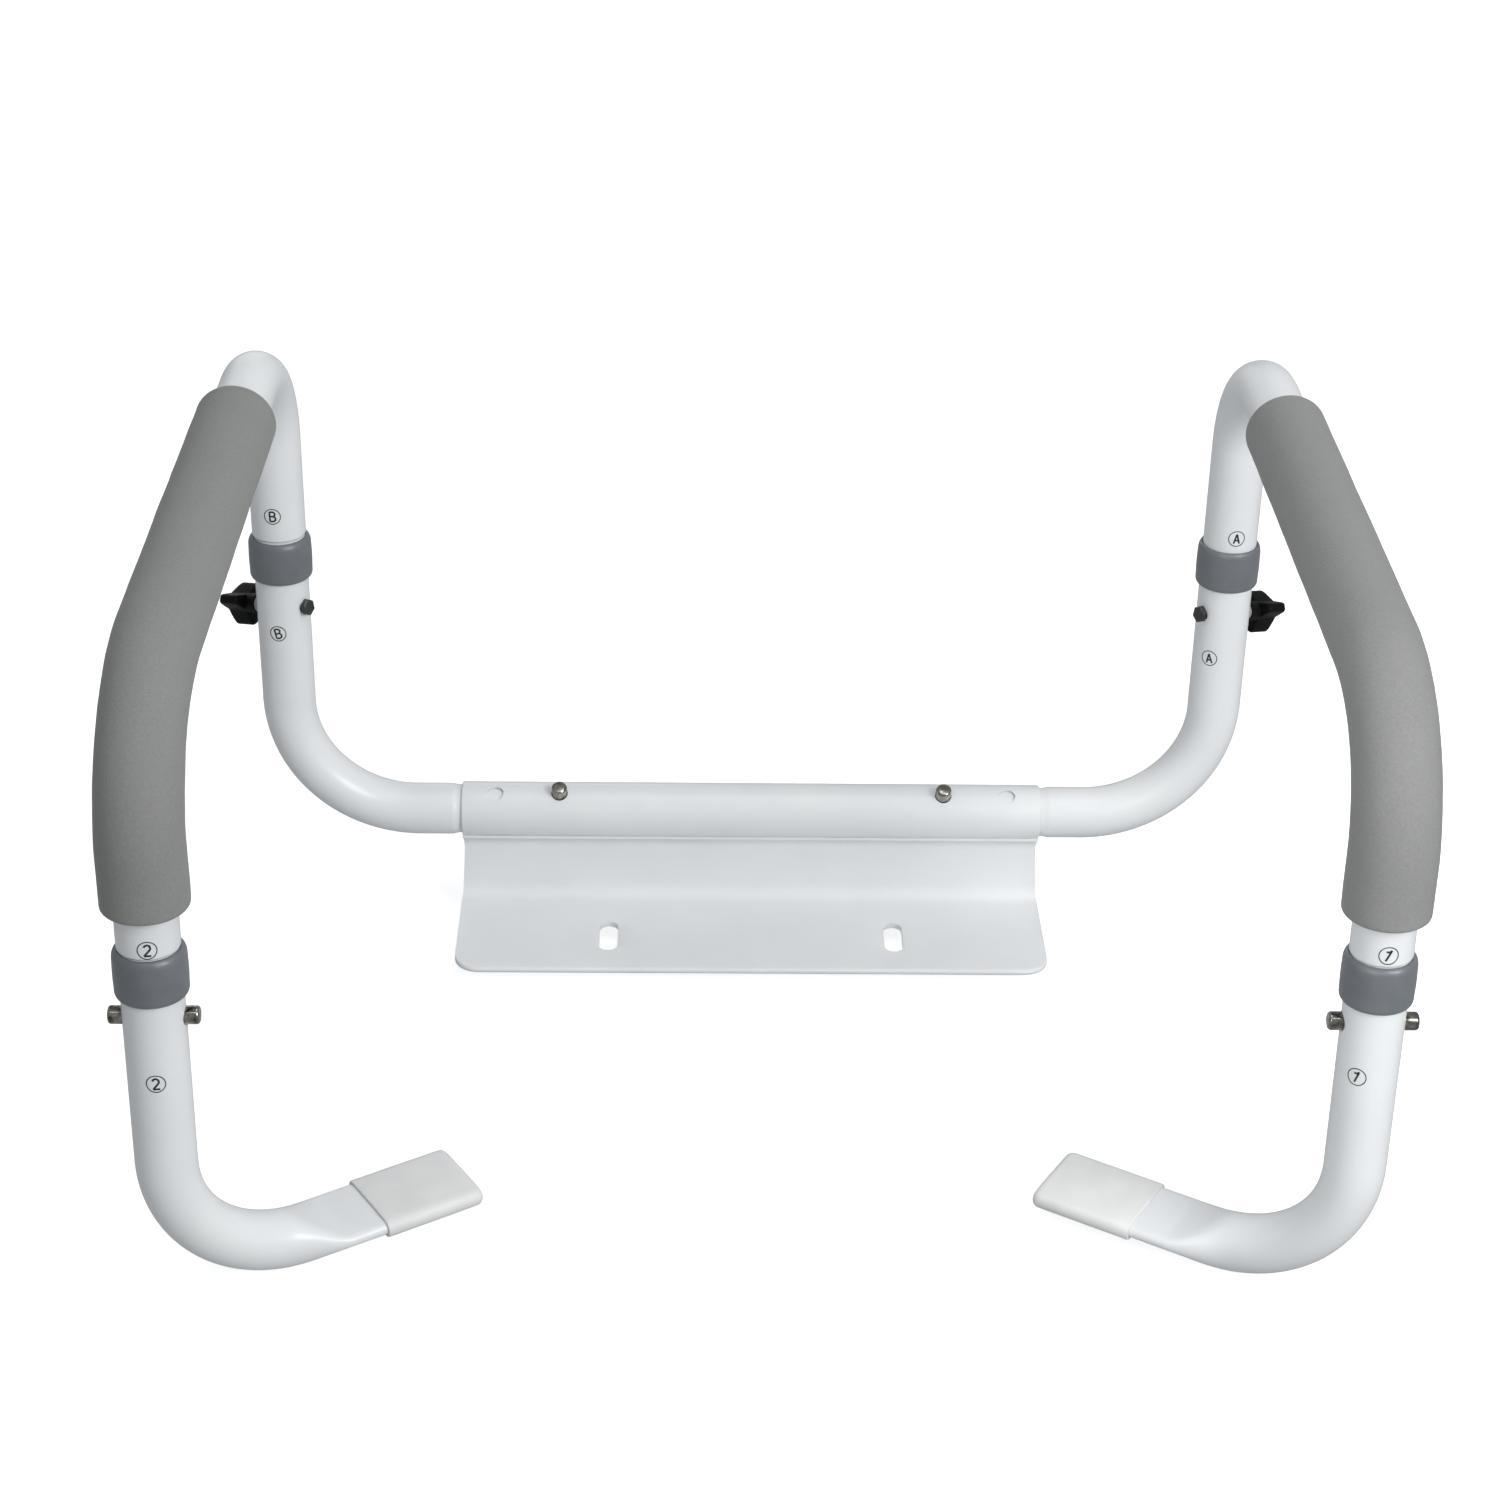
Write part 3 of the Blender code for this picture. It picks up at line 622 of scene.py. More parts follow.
def plate_stations():
    """(y, z, half thickness, distance from the tube) down the web and along the foot."""
    front_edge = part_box("mounting_plate")[0][1]
    centre = PLATE_THICKNESS / 2
    drop = PLATE_WEB_TOP_Y - CROSS_AXIS.y
    top = Vector((0, PLATE_WEB_TOP_Y, CROSS_AXIS.z - math.sqrt(CROSS_RADIUS**2 - drop**2)))
    heel = Vector((0, PLATE_WEB_FOOT_Y, centre))
    front = Vector((0, front_edge + PLATE_THICKNESS / 2, centre))
    down = (heel - top).normalized()
    points = [top + down * PLATE_WEB_STEP * (i - 2) for i in range(PLATE_WEB_STEPS)]
    points += arc(top, heel, front, PLATE_BEND_RADIUS, PLATE_BEND_STEPS)
    knee = points[-1].y
    for i in range(1, PLATE_FOOT_STEPS + 1):
        points.append(Vector((0, knee + (front.y - knee) * i / PLATE_FOOT_STEPS, centre)))
    stations = []
    for point in points:
        distance = max((point - top).dot(down), 0.0)
        reach = PLATE_FILLET - min(distance, PLATE_FILLET)
        fillet = PLATE_FILLET - math.sqrt(PLATE_FILLET**2 - reach**2)
        stations.append((point, PLATE_THICKNESS / 2 + fillet * PLATE_FILLET_SHARE, distance))
    return stations


def plate_ring(stations, share, x):
    """The plate's outline in its own section at one place across, share being -1 to 1."""
    knee_y = stations[PLATE_KNEE][0].y
    front_y = stations[-1][0].y
    inset = abs(x) - (CROSS_HALF - PLATE_CORNER)
    cut = PLATE_CORNER - math.sqrt(max(PLATE_CORNER**2 - max(inset, 0.0) ** 2, 0.0))
    upper = []
    lower = []
    for i, (point, half, distance) in enumerate(stations):
        before = stations[max(i - 1, 0)][0]
        after = stations[min(i + 1, len(stations) - 1)][0]
        along = (after - before).normalized()
        outward = Vector((0, along.z, -along.y))
        drop = min(distance / PLATE_WAIST_HEIGHT, 1.0)
        waist = -PLATE_WAIST * math.sin(math.pi * drop) * share
        past_knee = knee_y + PLATE_FLARE_LENGTH - point.y
        flare = PLATE_FLARE * ease(past_knee / PLATE_FLARE_LENGTH) * share
        place = Vector((x + waist + flare, point.y, point.z))
        if point.y < knee_y:
            place.y = knee_y + (point.y - knee_y) * (front_y + cut - knee_y) / (front_y - knee_y)
        upper.append(place - outward * half)
        lower.append(place + outward * half)
    nose = []
    tip = (upper[-1] + lower[-1]) / 2
    for i in range(1, 6):
        angle = math.pi * i / 6
        nose.append(tip + Vector((0, -math.sin(angle), math.cos(angle))) * PLATE_THICKNESS / 2)
    if upper[-1].z < lower[-1].z:
        nose.reverse()
    return upper + nose + lower[::-1]


def plate_columns():
    """Places across the plate, closer together where its corners are round."""
    inner = CROSS_HALF - PLATE_CORNER
    half = [inner * i / 12 for i in range(13)]
    half += [inner + PLATE_CORNER * math.sin(math.pi / 2 * i / 14) for i in range(1, 15)]
    return [-x for x in reversed(half[1:])] + half


def make_plate():
    stations = plate_stations()
    rings = [plate_ring(stations, x / CROSS_HALF, x) for x in plate_columns()]
    plate = skin("plate_coated", rings, caps=True, sharp=50)
    slots = []
    straight = (SLOT_LENGTH - SLOT_WIDTH) / 2
    for side in SIDES:
        rings = []
        for height in (-0.01, 0.01):
            ring = []
            for turn, end in ((0, straight), (math.pi, -straight)):
                for i in range(17):
                    angle = turn + math.pi * i / 16
                    x = side.sign * SEAT_BOLT_SPACING / 2 + SLOT_WIDTH / 2 * math.cos(angle)
                    ring.append(Vector((x, end + SLOT_WIDTH / 2 * math.sin(angle), height)))
            rings.append(ring)
        slots.append(skin("slot_bit", rings, caps=True))
    combine(plate, slots)
    bevel(plate, 0.0005, 2, 50)
    put(plate, "mount", POWDER_COAT, ["mounting_plate"])


# Side tubes -------------------------------------


COLLAR_OVERLAP = 0.016  # how far a lower tube reaches up into its collar
SHOULDER_GAP = 0.0015
SHOULDER_LENGTH = 0.0035
SOCKET_NECK = 0.004
SOCKET_STEP = 0.005


def button_bits(side):
    start = side.front_button - side.outward * 2 * TUBE_RADIUS
    return [drill_bit(start, side.outward, HOLE_RADIUS, 4 * TUBE_RADIUS)]


def clamp_bits(side):
    start = side.clamp_centre - side.clamp_axis * 2 * TUBE_RADIUS
    return [drill_bit(start, side.clamp_axis, CLAMP_HOLE_RADIUS, 4 * TUBE_RADIUS)]


def make_rear_lower_tube(side):
    """The slider, its shoulder outside the cross tube, the bend and the rear upright."""
    collar_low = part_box(f"rear_collar_{side.name}")[0][2]
    slider_low, slider_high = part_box(f"rear_lower_tube_{side.name}")
    inner_x = slider_high[0] if side.sign < 0 else slider_low[0]
    inner = Vector((inner_x, CROSS_AXIS.y, CROSS_AXIS.z))
    shoulder = Vector((side.sign * (CROSS_HALF + SHOULDER_GAP), CROSS_AXIS.y, CROSS_AXIS.z))
    top = side.on_rear(collar_low + COLLAR_OVERLAP)
    stations = [(inner, SLIDER_RADIUS, SLIDER_RADIUS)]
    stations += step(shoulder, side.outward, SHOULDER_LENGTH, SLIDER_RADIUS, TUBE_RADIUS)
    path = route([inner, side.rear_foot, top], [REAR_LOWER_RADIUS])[1:]
    stations += bent(path, TUBE_RADIUS)
    tube = hollow_tube(f"rear_lower_tube_{side.name}_coated", stations, Vector((0, 1, 0)))
    button = Vector((side.hole_x, CROSS_AXIS.y, CROSS_AXIS.z))
    bits = [drill_bit(button, HOLE_AXIS, HOLE_RADIUS, 2 * CROSS_RADIUS)]
    combine(tube, bits + clamp_bits(side))
    put(tube, side.body, POWDER_COAT, [f"rear_lower_tube_{side.name}"])


def neck(start, direction, steps=5):
    """A tube's full diameter rounding in, past a fine groove, to the neck inside a collar."""
    drop = TUBE_RADIUS - NECK_RADIUS
    stations = []
    for i in range(steps + 1):
        angle = math.pi / 2 * i / steps
        radius = NECK_RADIUS + drop * math.cos(angle)
        stations.append((start + direction * drop * math.sin(angle), radius, radius))
    for along, depth in NECK_GROOVE:
        radius = NECK_RADIUS - depth
        stations.append((start + direction * (drop + along), radius, radius))
    return stations


def socket(mouth, end, direction):
    """The neck and the swaged end of an arm tube inside its collar, from the collar's mouth on."""
    stations = [(mouth + direction * SOCKET_NECK, NECK_RADIUS, NECK_RADIUS)]
    stations.append((mouth + direction * SOCKET_STEP, SWAGED_RADIUS, SWAGED_RADIUS))
    stations.append((end, SWAGED_RADIUS, SWAGED_RADIUS))
    return stations


def make_arm_tube(side):
    """One tube from the rear collar over the armrest and down into the front collar."""
    name = side.name
    rear_mouth = side.on_rear(side.rear_collar.z + COLLAR_HEIGHT / 2)
    front_mouth = side.front_collar - side.down * COLLAR_HEIGHT / 2
    rear_shoulder = rear_mouth + UP * side.rear_gap
    front_shoulder = front_mouth - side.down * FRONT_GAP
    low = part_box(f"arm_tube_{name}")[0]
    stations = socket(rear_mouth, side.on_rear(rear_mouth.z - ARM_REAR_REACH), -UP)[::-1]
    stations += neck(rear_shoulder, -UP)[::-1]
    corners = [rear_shoulder, side.rear_top, side.front_top, front_shoulder]
    path = route(corners, [ARM_REAR_RADIUS, ARM_FRONT_RADIUS])
    stations += bent(path[1:-1], TUBE_RADIUS)
    stations += neck(front_shoulder, side.down)
    stations += socket(front_mouth, side.on_front(low[2] + 0.0005), side.down)
    tube = hollow_tube(f"arm_tube_{name}_coated", stations, side.arm_normal)
    combine(tube, button_bits(side) + clamp_bits(side))
    put(tube, side.body, POWDER_COAT, [f"arm_tube_{name}"])


def flattened_section(squash):
    """Half the width and half the height of a tube pressed by a share of the way to flat."""
    height = TUBE_RADIUS + (FLAT_THICKNESS / 2 - TUBE_RADIUS) * squash
    width = height + math.pi / 2 * (TUBE_RADIUS - height)
    return width, height


def stadium(width, height, sides=ROUND_SIDES):
    """A round-ended outline of half-width and half-height, as (across, up) points."""
    points = []
    for i in range(sides):
        angle = 2 * math.pi * (i + 0.5) / sides
        share = math.tanh(STADIUM_TURN * math.cos(angle)) / math.tanh(STADIUM_TURN)
        shift = (width - height) * share
        points.append((shift + height * math.cos(angle), height * math.sin(angle)))
    return points


def make_front_lower_tube(side):
    """The front upright's lower half, its bend, and the inward run that is pressed flat."""
    collar_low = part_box(f"front_collar_{side.name}")[0][2]
    top = side.on_front(collar_low + COLLAR_OVERLAP)
    end = side.foot_corner + side.foot_run * FOOT_RUN
    path = route([top, side.foot_corner, end], [FOOT_BEND_RADIUS])
    bend_end = path[-2][0]
    flat_steps = 12
    stride = side.foot_run * (FLAT_LENGTH - FLAT_LEAD)
    run = [bend_end + stride * i / flat_steps for i in range(1, flat_steps + 1)]
    stations = []
    for place, share in path[:-1] + [(place, 0.0) for place in run + [end]]:
        reach = (place - bend_end).dot(side.foot_run)
        stations.append((place, ease((reach + FLAT_LEAD) / FLAT_LENGTH), share))
    outer = []
    inner = []
    across = side.foot_across
    for i, (place, squash, share) in enumerate(stations):
        before = stations[max(i - 1, 0)][0]
        after = stations[min(i + 1, len(stations) - 1)][0]
        tangent = (after - before).normalized()
        upward = across.cross(tangent).normalized()
        sideways = tangent.cross(upward)
        width, height = flattened_section(squash)
        width *= 1 + OVAL / 2 * share
        height *= 1 - OVAL * share
        for rings, thinner in ((outer, 0), (inner, WALL)):
            outline = stadium(width - thinner, height - thinner)
            rings.append([place + sideways * x + upward * y for x, y in outline])
    tube = skin(f"front_lower_tube_{side.name}_coated", outer + inner[::-1], wrap=True)
    combine(tube, button_bits(side))
    put(tube, side.body, POWDER_COAT, [f"front_lower_tube_{side.name}"])


def make_foot_sleeve(side):
    """A moulded cap over the flattened end, with a rolled lip at its mouth."""
    width, height = flattened_section(1.0)
    start = side.foot_corner + side.foot_run * SLEEVE_START
    bore = CLEARANCE
    wall = CLEARANCE + SLEEVE_WALL
    lip = SLEEVE_LIP

    def outline_at(along, grow):
        outline = stadium(width + grow, max(height + grow, 0.0008))
        place = start + side.foot_run * along
        return [place + side.foot_across * x + UP * y for x, y in outline]

    nose = SLEEVE_NOSE
    profile = [(0.0, bore), (0.0, wall - lip), (lip * 0.3, wall - lip * 0.3), (lip, wall)]
    profile += bow((SLEEVE_LENGTH - nose, wall - nose), (nose, nose), 90, 0, 6)
    outer = [outline_at(along, grow) for along, grow in profile]
    inner = [outline_at(SLEEVE_LENGTH - SLEEVE_WALL, bore), outline_at(SLEEVE_LIP, bore)]
    bm = bmesh.new()
    add_skin(bm, outer)
    add_skin(bm, inner)
    bmesh.ops.remove_doubles(bm, verts=bm.verts, dist=0.000001)
    edges = [edge for edge in bm.edges if edge.is_boundary]
    mouth = []
    for edge in edges:
        if all((vert.co - start).dot(side.foot_run) < 2 * SLEEVE_LIP for vert in edge.verts):
            mouth.append(edge)
    bmesh.ops.bridge_loops(bm, edges=mouth)
    ends = [edge for edge in bm.edges if edge.is_boundary]
    bmesh.ops.holes_fill(bm, edges=ends, sides=0)
    sleeve = finish_mesh(f"foot_sleeve_{side.name}_moulded", bm)
    put(sleeve, side.body, SLEEVE_PLASTIC, [f"foot_sleeve_{side.name}"])


# Grips, collars and hardware --------------------


def make_foam_grip(side):
    """A foam sleeve pushed over the armrest, a little uneven, with soft cut ends."""
    rear_bend = arc(side.rear_foot, side.rear_top, side.front_top, ARM_REAR_RADIUS, BEND_STEPS)
    front_corners = (side.rear_top, side.front_top, side.foot_corner)
    front_bend = arc(*front_corners, ARM_FRONT_RADIUS, GRIP_BEND_STEPS)
    along = (front_bend[0] - rear_bend[-1]).normalized()
    start = rear_bend[-1] + along * GRIP_REAR_GAP
    finish = side.on_front(GRIP_FRONT_END_Z)
    straight = (front_bend[0] - start).length
    last = (finish - front_bend[-1]).length
    places = []
    for i in range(GRIP_STRAIGHT_STEPS):
        places.append((start + along * straight * i / GRIP_STRAIGHT_STEPS, 0.0))
    for i, point in enumerate(front_bend):
        places.append((point, math.sin(math.pi * i / GRIP_BEND_STEPS)))
    for i in range(1, GRIP_TAIL_STEPS + 1):
        places.append((front_bend[-1] + side.down * last * i / GRIP_TAIL_STEPS, 0.0))
    ends = bow((GRIP_CUT, GRIP_CUT), (-GRIP_CUT, -GRIP_CUT), 0, 90, GRIP_CUT_STEPS)
    head = [(start + along * inset, FOAM_RADIUS - drop) for inset, drop in ends]
    tail = [(finish - side.down * inset, FOAM_RADIUS - drop) for inset, drop in reversed(ends)]
    body = []
    for place, share in places:
        past_head = (place - head[-1][0]).dot(along) > 0.001
        before_tail = (place - tail[0][0]).dot(side.down) < -0.0003
        if past_head and (before_tail or place.z > tail[0][0].z + 0.02):
            body.append((place, FOAM_RADIUS - GRIP_PINCH * share))
    stations = head + body + tail
    outer = tube_rings([(place, radius, radius) for place, radius in stations], side.arm_normal)
    for ring in outer[len(ends) : -len(ends)]:
        centre = sum(ring, Vector()) / len(ring)
        for point in ring:
            swell = sum(noise.noise(point * often) * high for often, high in GRIP_SWELLS)
            point += (point - centre).normalized() * swell
    bore = [(place, FOAM_BORE, FOAM_BORE) for place, radius in stations]
    inner = tube_rings(bore, side.arm_normal)
    grip = skin(f"foam_grip_{side.name}_soft", outer + inner[::-1], wrap=True, sharp=60)
    put(grip, side.body, FOAM, [f"foam_grip_{side.name}"])


def make_collar(side, end, axis):
    """A moulded ring, slightly barrelled, whose domed shoulder closes in on the tube."""
    node = f"{end}_collar_{side.name}"
    half = COLLAR_HEIGHT / 2
    wall = COLLAR_RADIUS - COLLAR_BORE
    lip = NECK_RADIUS + CLEARANCE if end == "front" or side.rear_gap > 0 else COLLAR_BORE
    rim = half + COLLAR_RISE
    profile = [(COLLAR_BORE, 0.0005 - half), (COLLAR_BORE, half - 0.0030), (lip, half - 0.0024)]
    profile += [(lip, rim - 0.0002), (lip + 0.0001, rim)]
    inner = lip + 0.0002
    dome_foot = rim - COLLAR_SHOULDER
    profile += bow((inner, dome_foot), (COLLAR_RADIUS - inner, COLLAR_SHOULDER), 90, 0, 10)
    profile += [(COLLAR_RADIUS + barrel, height) for barrel, height in COLLAR_BARREL]
    foot = (wall * 0.75, COLLAR_FOOT)
    profile += bow((COLLAR_RADIUS - foot[0], COLLAR_FOOT - half), foot, 0, -90, 7)
    profile += [(COLLAR_BORE + 0.0002, -half)]
    ring = turned(f"{node}_moulded", profile, middle(node), axis, wrap=True, sharp=50)
    put(ring, side.body, COLLAR_PLASTIC, [node])


BUTTON_RADIUS = 0.0038
BUTTON_BASE = 0.0088
BUTTON_STAND = 0.0056
BUTTON_ROUND = 0.0014


def make_button(node, body, centre, axis, surface):
    """A plated pin with a softly domed end."""
    tip = surface + BUTTON_STAND
    profile = [(0, BUTTON_BASE), (BUTTON_RADIUS, BUTTON_BASE)]
    corner = (BUTTON_RADIUS - BUTTON_ROUND, tip - BUTTON_ROUND - 0.0001)
    profile += bow(corner, (BUTTON_ROUND, BUTTON_ROUND), 0, 90, 8)
    profile += [(BUTTON_RADIUS * 0.35, tip - 0.00003), (0, tip)]
    pin = turned(f"{node}_plated", profile, centre, axis, steps=48)
    put(pin, body, NICKEL, [node])


def make_buttons(side):
    name = side.name
    rear = Vector((side.hole_x, CROSS_AXIS.y, CROSS_AXIS.z))
    make_button(f"rear_snap_button_{name}", f"rear_button_{name}", rear, HOLE_AXIS, CROSS_RADIUS)
    for label, axis in (("outer", side.outward), ("inner", -side.outward)):
        node = f"front_snap_button_{label}_{name}"
        make_button(node, f"front_button_{label}_{name}", side.front_button, axis, TUBE_RADIUS)


HEX_RADIUS = 0.0042
HEX_FACE = 0.0141
HEX_HEIGHT = 0.0024
BOLT_RADIUS = 0.0025
BOLT_IN_KNOB = 0.0092
SPACER_START = 0.9 * TUBE_RADIUS
SPACER_RADIUS = 0.0044
SPACER_FACE = 0.0149
KNOB_FACE = 0.0152
KNOB_HUB_RADIUS = 0.0049
KNOB_HUB_LENGTH = 0.0055
KNOB_LENGTH = 0.0122
KNOB_RADIUS = 0.0113
KNOB_WAIST = 0.0047
KNOB_TIP = math.radians(10)
KNOB_CROWN = 0.0018
KNOB_EDGE = 0.0008
KNOB_DISH = ((0, 0), (0.0036, 0), (0.0042, 0.002), (0, 0.002))
KNOB_DISH_DEPTH = 0.0012
INSERT_RADIUS = 0.0037
INSERT_LENGTH = 0.0102


def make_clamp_bolt(side):
    seat = side.clamp_centre - side.clamp_axis * HEX_FACE
    outward = -side.clamp_axis
    chamfer = 0.0007
    profile = [(0, 0), (HEX_RADIUS, 0), (HEX_RADIUS, HEX_HEIGHT - chamfer)]
    profile += [(HEX_RADIUS - chamfer, HEX_HEIGHT), (0, HEX_HEIGHT)]
    name = f"clamp_bolt_{side.name}_blacked"
    point_up = math.radians(30)
    head = turned(name, profile, seat, outward, steps=6, sharp=20, phase=point_up)
    reach = HEX_FACE + KNOB_FACE + BOLT_IN_KNOB
    shank = drill_bit(seat + outward * HEX_HEIGHT / 2, side.clamp_axis, BOLT_RADIUS, reach, 32)
    combine(head, [shank], "UNION")
    bevel(head, 0.0002, 2, 20)
    put(head, side.body, BLACK_STEEL, [f"clamp_bolt_{side.name}"])


def make_spacer(side):
    start = side.clamp_centre + side.clamp_axis * SPACER_START
    spacer = drill_bit(start, side.clamp_axis, SPACER_RADIUS, SPACER_FACE - SPACER_START, 48)
    spacer.name = f"knob_spacer_{side.name}_moulded"
    below = side.on_rear(side.clamp_centre.z - SPACER_RADIUS * 3)
    saddle = drill_bit(below, UP, TUBE_RADIUS + CLEARANCE, SPACER_RADIUS * 6, 96)
    bore = drill_bit(side.clamp_centre, side.clamp_axis, CLAMP_HOLE_RADIUS, 0.03)
    combine(spacer, [saddle, bore])
    bevel(spacer, 0.0002, 2, 40)
    node = f"knob_spacer_{side.name}"
    put(spacer, f"clamp_washer_{side.name}", SPACER_PLASTIC, [node])


def star_outline(steps=144):
    """Distances, at even angles, from the middle of a star with three blunt lobes."""
    tip = Vector((math.cos(KNOB_TIP), math.sin(KNOB_TIP))) * KNOB_RADIUS
    valley = Vector((math.cos(math.pi / 3), math.sin(math.pi / 3))) * KNOB_WAIST
    flank = valley - tip
    radii = []
    for i in range(steps):
        angle = abs((2 * math.pi * i / steps + math.pi / 3) % (2 * math.pi / 3) - math.pi / 3)
        if angle < KNOB_TIP:
            radii.append(tip.x / math.cos(angle))
        else:
            unit = Vector((math.cos(angle), math.sin(angle)))
            radii.append(tip.cross(flank) / unit.cross(flank))
    for _ in range(4):
        radii = [(radii[i - 1] + 2 * radii[i] + radii[(i + 1) % steps]) / 4 for i in range(steps)]
    return radii


def knob_ring(side, height, shrink, scale=1.0, crown=0.0):
    """The star's outline at a height on the clamp's axis, one lobe straight down."""
    across, upright = axes_round(side.clamp_axis)
    radii = star_outline()
    ring = []
    for i, radius in enumerate(radii):
        turn = 2 * math.pi * i / len(radii) - math.pi / 2
        reach = (radius - shrink) * scale
        level = height - crown * (reach / KNOB_RADIUS) ** 2
        spoke = across * math.cos(turn) + upright * math.sin(turn)
        ring.append(side.clamp_centre + side.clamp_axis * level + spoke * reach)
    return ring


def make_knob(side):
    """A star knob with a crowned face on a round hub."""
    base = KNOB_FACE + KNOB_HUB_LENGTH
    face = base + KNOB_LENGTH
    edge = KNOB_EDGE
    corner = bow((edge, edge), (-edge, -edge), 90, 0, 4)
    rings = [knob_ring(side, base + drop, shrink) for drop, shrink in reversed(corner)]
    rings += [knob_ring(side, face - drop, shrink, crown=KNOB_CROWN) for drop, shrink in corner]
    rings += [knob_ring(side, face, edge, scale, KNOB_CROWN) for scale in (0.8, 0.6, 0.4, 0.2)]
    knob = skin(f"clamp_knob_{side.name}_moulded", rings, caps=True)
    hub_start = side.clamp_centre + side.clamp_axis * KNOB_FACE
    hub = drill_bit(hub_start, side.clamp_axis, KNOB_HUB_RADIUS, KNOB_HUB_LENGTH + KNOB_LENGTH / 2)
    combine(knob, [hub], "UNION")
    dish_centre = side.clamp_centre + side.clamp_axis * (face - KNOB_DISH_DEPTH)
    dish = turned("dish", KNOB_DISH, dish_centre, side.clamp_axis, 48)
    bore_radius = INSERT_RADIUS + CLEARANCE
    bore = drill_bit(side.clamp_centre, side.clamp_axis, bore_radius, KNOB_FACE + INSERT_LENGTH)
    combine(knob, [dish, bore])
    bevel(knob, 0.0002, 2, 50)
    put(knob, f"clamp_handle_{side.name}", KNOB_PLASTIC, [f"clamp_knob_{side.name}"])


# Assembly marks ---------------------------------

MARK_RADIUS = 0.0038
MARK_RING = 0.00042
MARK_STROKE = 0.00082
MARK_DEPTH = 0.00006
LETTER_HALF = 0.0024


def strokes(letter):
    """Pen lines of a character that is 2 units high and centred on the origin."""
    if letter == "A":
        return [[(-0.56, -1), (0, 1)], [(0, 1), (0.56, -1)], [(-0.36, -0.34), (0.36, -0.34)]]
    if letter == "B":
        upper = [(-0.5, 1), (0.08, 1), *bow((0.08, 0.52), (0.44, 0.48), 90, -90), (-0.5, 0.04)]
        lower = [(-0.5, 0.04), (0.1, 0.04), *bow((0.1, -0.48), (0.5, 0.52), 90, -90), (-0.5, -1)]
        return [[(-0.5, -1), (-0.5, 1)], upper, lower]
    if letter == "1":
        return [[(-0.42, -1), (0.48, 1)], [(0.48, 1), (0.06, 0.66), (-0.42, 0.76)]]
    curve = bow((0, 0.44), (0.52, 0.56), 165, -35)
    return [curve + [(-0.54, -1)], [(-0.54, -1), (0.6, -1)]]


def pen_line(bm, line, width, place, spacing=0.0002):
    """A thin raised ribbon along flat points, laid on a surface by place(x, y, height)."""
    dense = [line[0]]
    for first, second in zip(line, line[1:]):
        run_x = second[0] - first[0]
        run_y = second[1] - first[1]
        count = max(1, math.ceil(math.dist(first, second) / spacing))
        for i in range(1, count + 1):
            dense.append((first[0] + run_x * (i / count), first[1] + run_y * (i / count)))
    rings = []
    for i, (x, y) in enumerate(dense):
        before = dense[max(i - 1, 0)]
        after = dense[min(i + 1, len(dense) - 1)]
        run = math.hypot(after[0] - before[0], after[1] - before[1]) or 1.0
        side_x = -(after[1] - before[1]) / run * width / 2
        side_y = (after[0] - before[0]) / run * width / 2
        corners = ((1, -1), (1, 1), (-1, 1), (-1, -1))
        rings.append([place(x + side_x * a, y + side_y * a, MARK_DEPTH * b) for a, b in corners])
    add_skin(bm, rings, caps=True)


def make_mark(side, letter, label, axis_place, up, turn, tilt):
    """A printed character in a ring, wrapped round a tube. turn is its angle off the front."""
    tilt = math.radians(tilt)
    facing = Matrix.Rotation(math.radians(turn), 3, up) @ Vector((0, -1, 0))
    facing = (facing - up * facing.dot(up)).normalized()
    across = up.cross(facing)

    def place(x, y, height):
        wide = x * math.cos(tilt) - y * math.sin(tilt)
        tall = x * math.sin(tilt) + y * math.cos(tilt)
        angle = wide / TUBE_RADIUS
        radial = facing * math.cos(angle) + across * math.sin(angle)
        return axis_place + up * tall + radial * (TUBE_RADIUS + height)

    bm = bmesh.new()
    ring = bow((0, 0), (MARK_RADIUS, MARK_RADIUS), 0, 360, 60)
    pen_line(bm, ring, MARK_RING, place, spacing=0.0004)
    for line in strokes(letter):
        scaled = [(x * LETTER_HALF, y * LETTER_HALF) for x, y in line]
        pen_line(bm, scaled, MARK_STROKE, place)
    mark = finish_mesh(f"mark_{label}_{side.name}", bm)
    put(mark, side.body, INK)


def make_marks(side):
    """The marks that tell the tubes apart, with their turn round the tube and their tilt."""
    up = -side.down
    if side.sign < 0:
        make_mark(side, "B", "rear_arm", side.on_rear(0.2110), UP, -4, 2)
        make_mark(side, "B", "rear_lower", side.on_rear(0.1497), UP, -8, 14)
        make_mark(side, "2", "front_arm", side.on_front(0.1692), up, 8, 0)
        make_mark(side, "2", "front_lower", side.on_front(0.1081), up, 4, 3)
    else:
        make_mark(side, "A", "rear_arm", side.on_rear(0.2037), UP, 3, 0)
        make_mark(side, "A", "rear_lower", side.on_rear(0.1395), UP, -31, 6)
        make_mark(side, "1", "front_arm", side.on_front(0.1700), up, -1, 0)
        make_mark(side, "1", "front_lower", side.on_front(0.1130), up, -31, 6)


# Assembly ---------------------------------------


def finish_hidden_nodes():
    """The pieces inside the tubes keep their CAD shape and take a finished material."""
    finishes = {"spring_clip": SPRING_STEEL, "knob_insert": BRASS}
    for name, node in frame["nodes"].items():
        for key, material in finishes.items():
            if key in name:
                node.data.materials.clear()
                node.data.materials.append(material)


make_cross_tube()
make_plate()
for side in SIDES:
    make_rear_lower_tube(side)
    make_arm_tube(side)
    make_front_lower_tube(side)
    make_foot_sleeve(side)
    make_foam_grip(side)
    make_collar(side, "rear", UP)
    make_collar(side, "front", -side.down)
    make_buttons(side)
    make_clamp_bolt(side)
    make_spacer(side)
    make_knob(side)
    make_marks(side)
finish_hidden_nodes()


# Camera, floor and light ------------------------

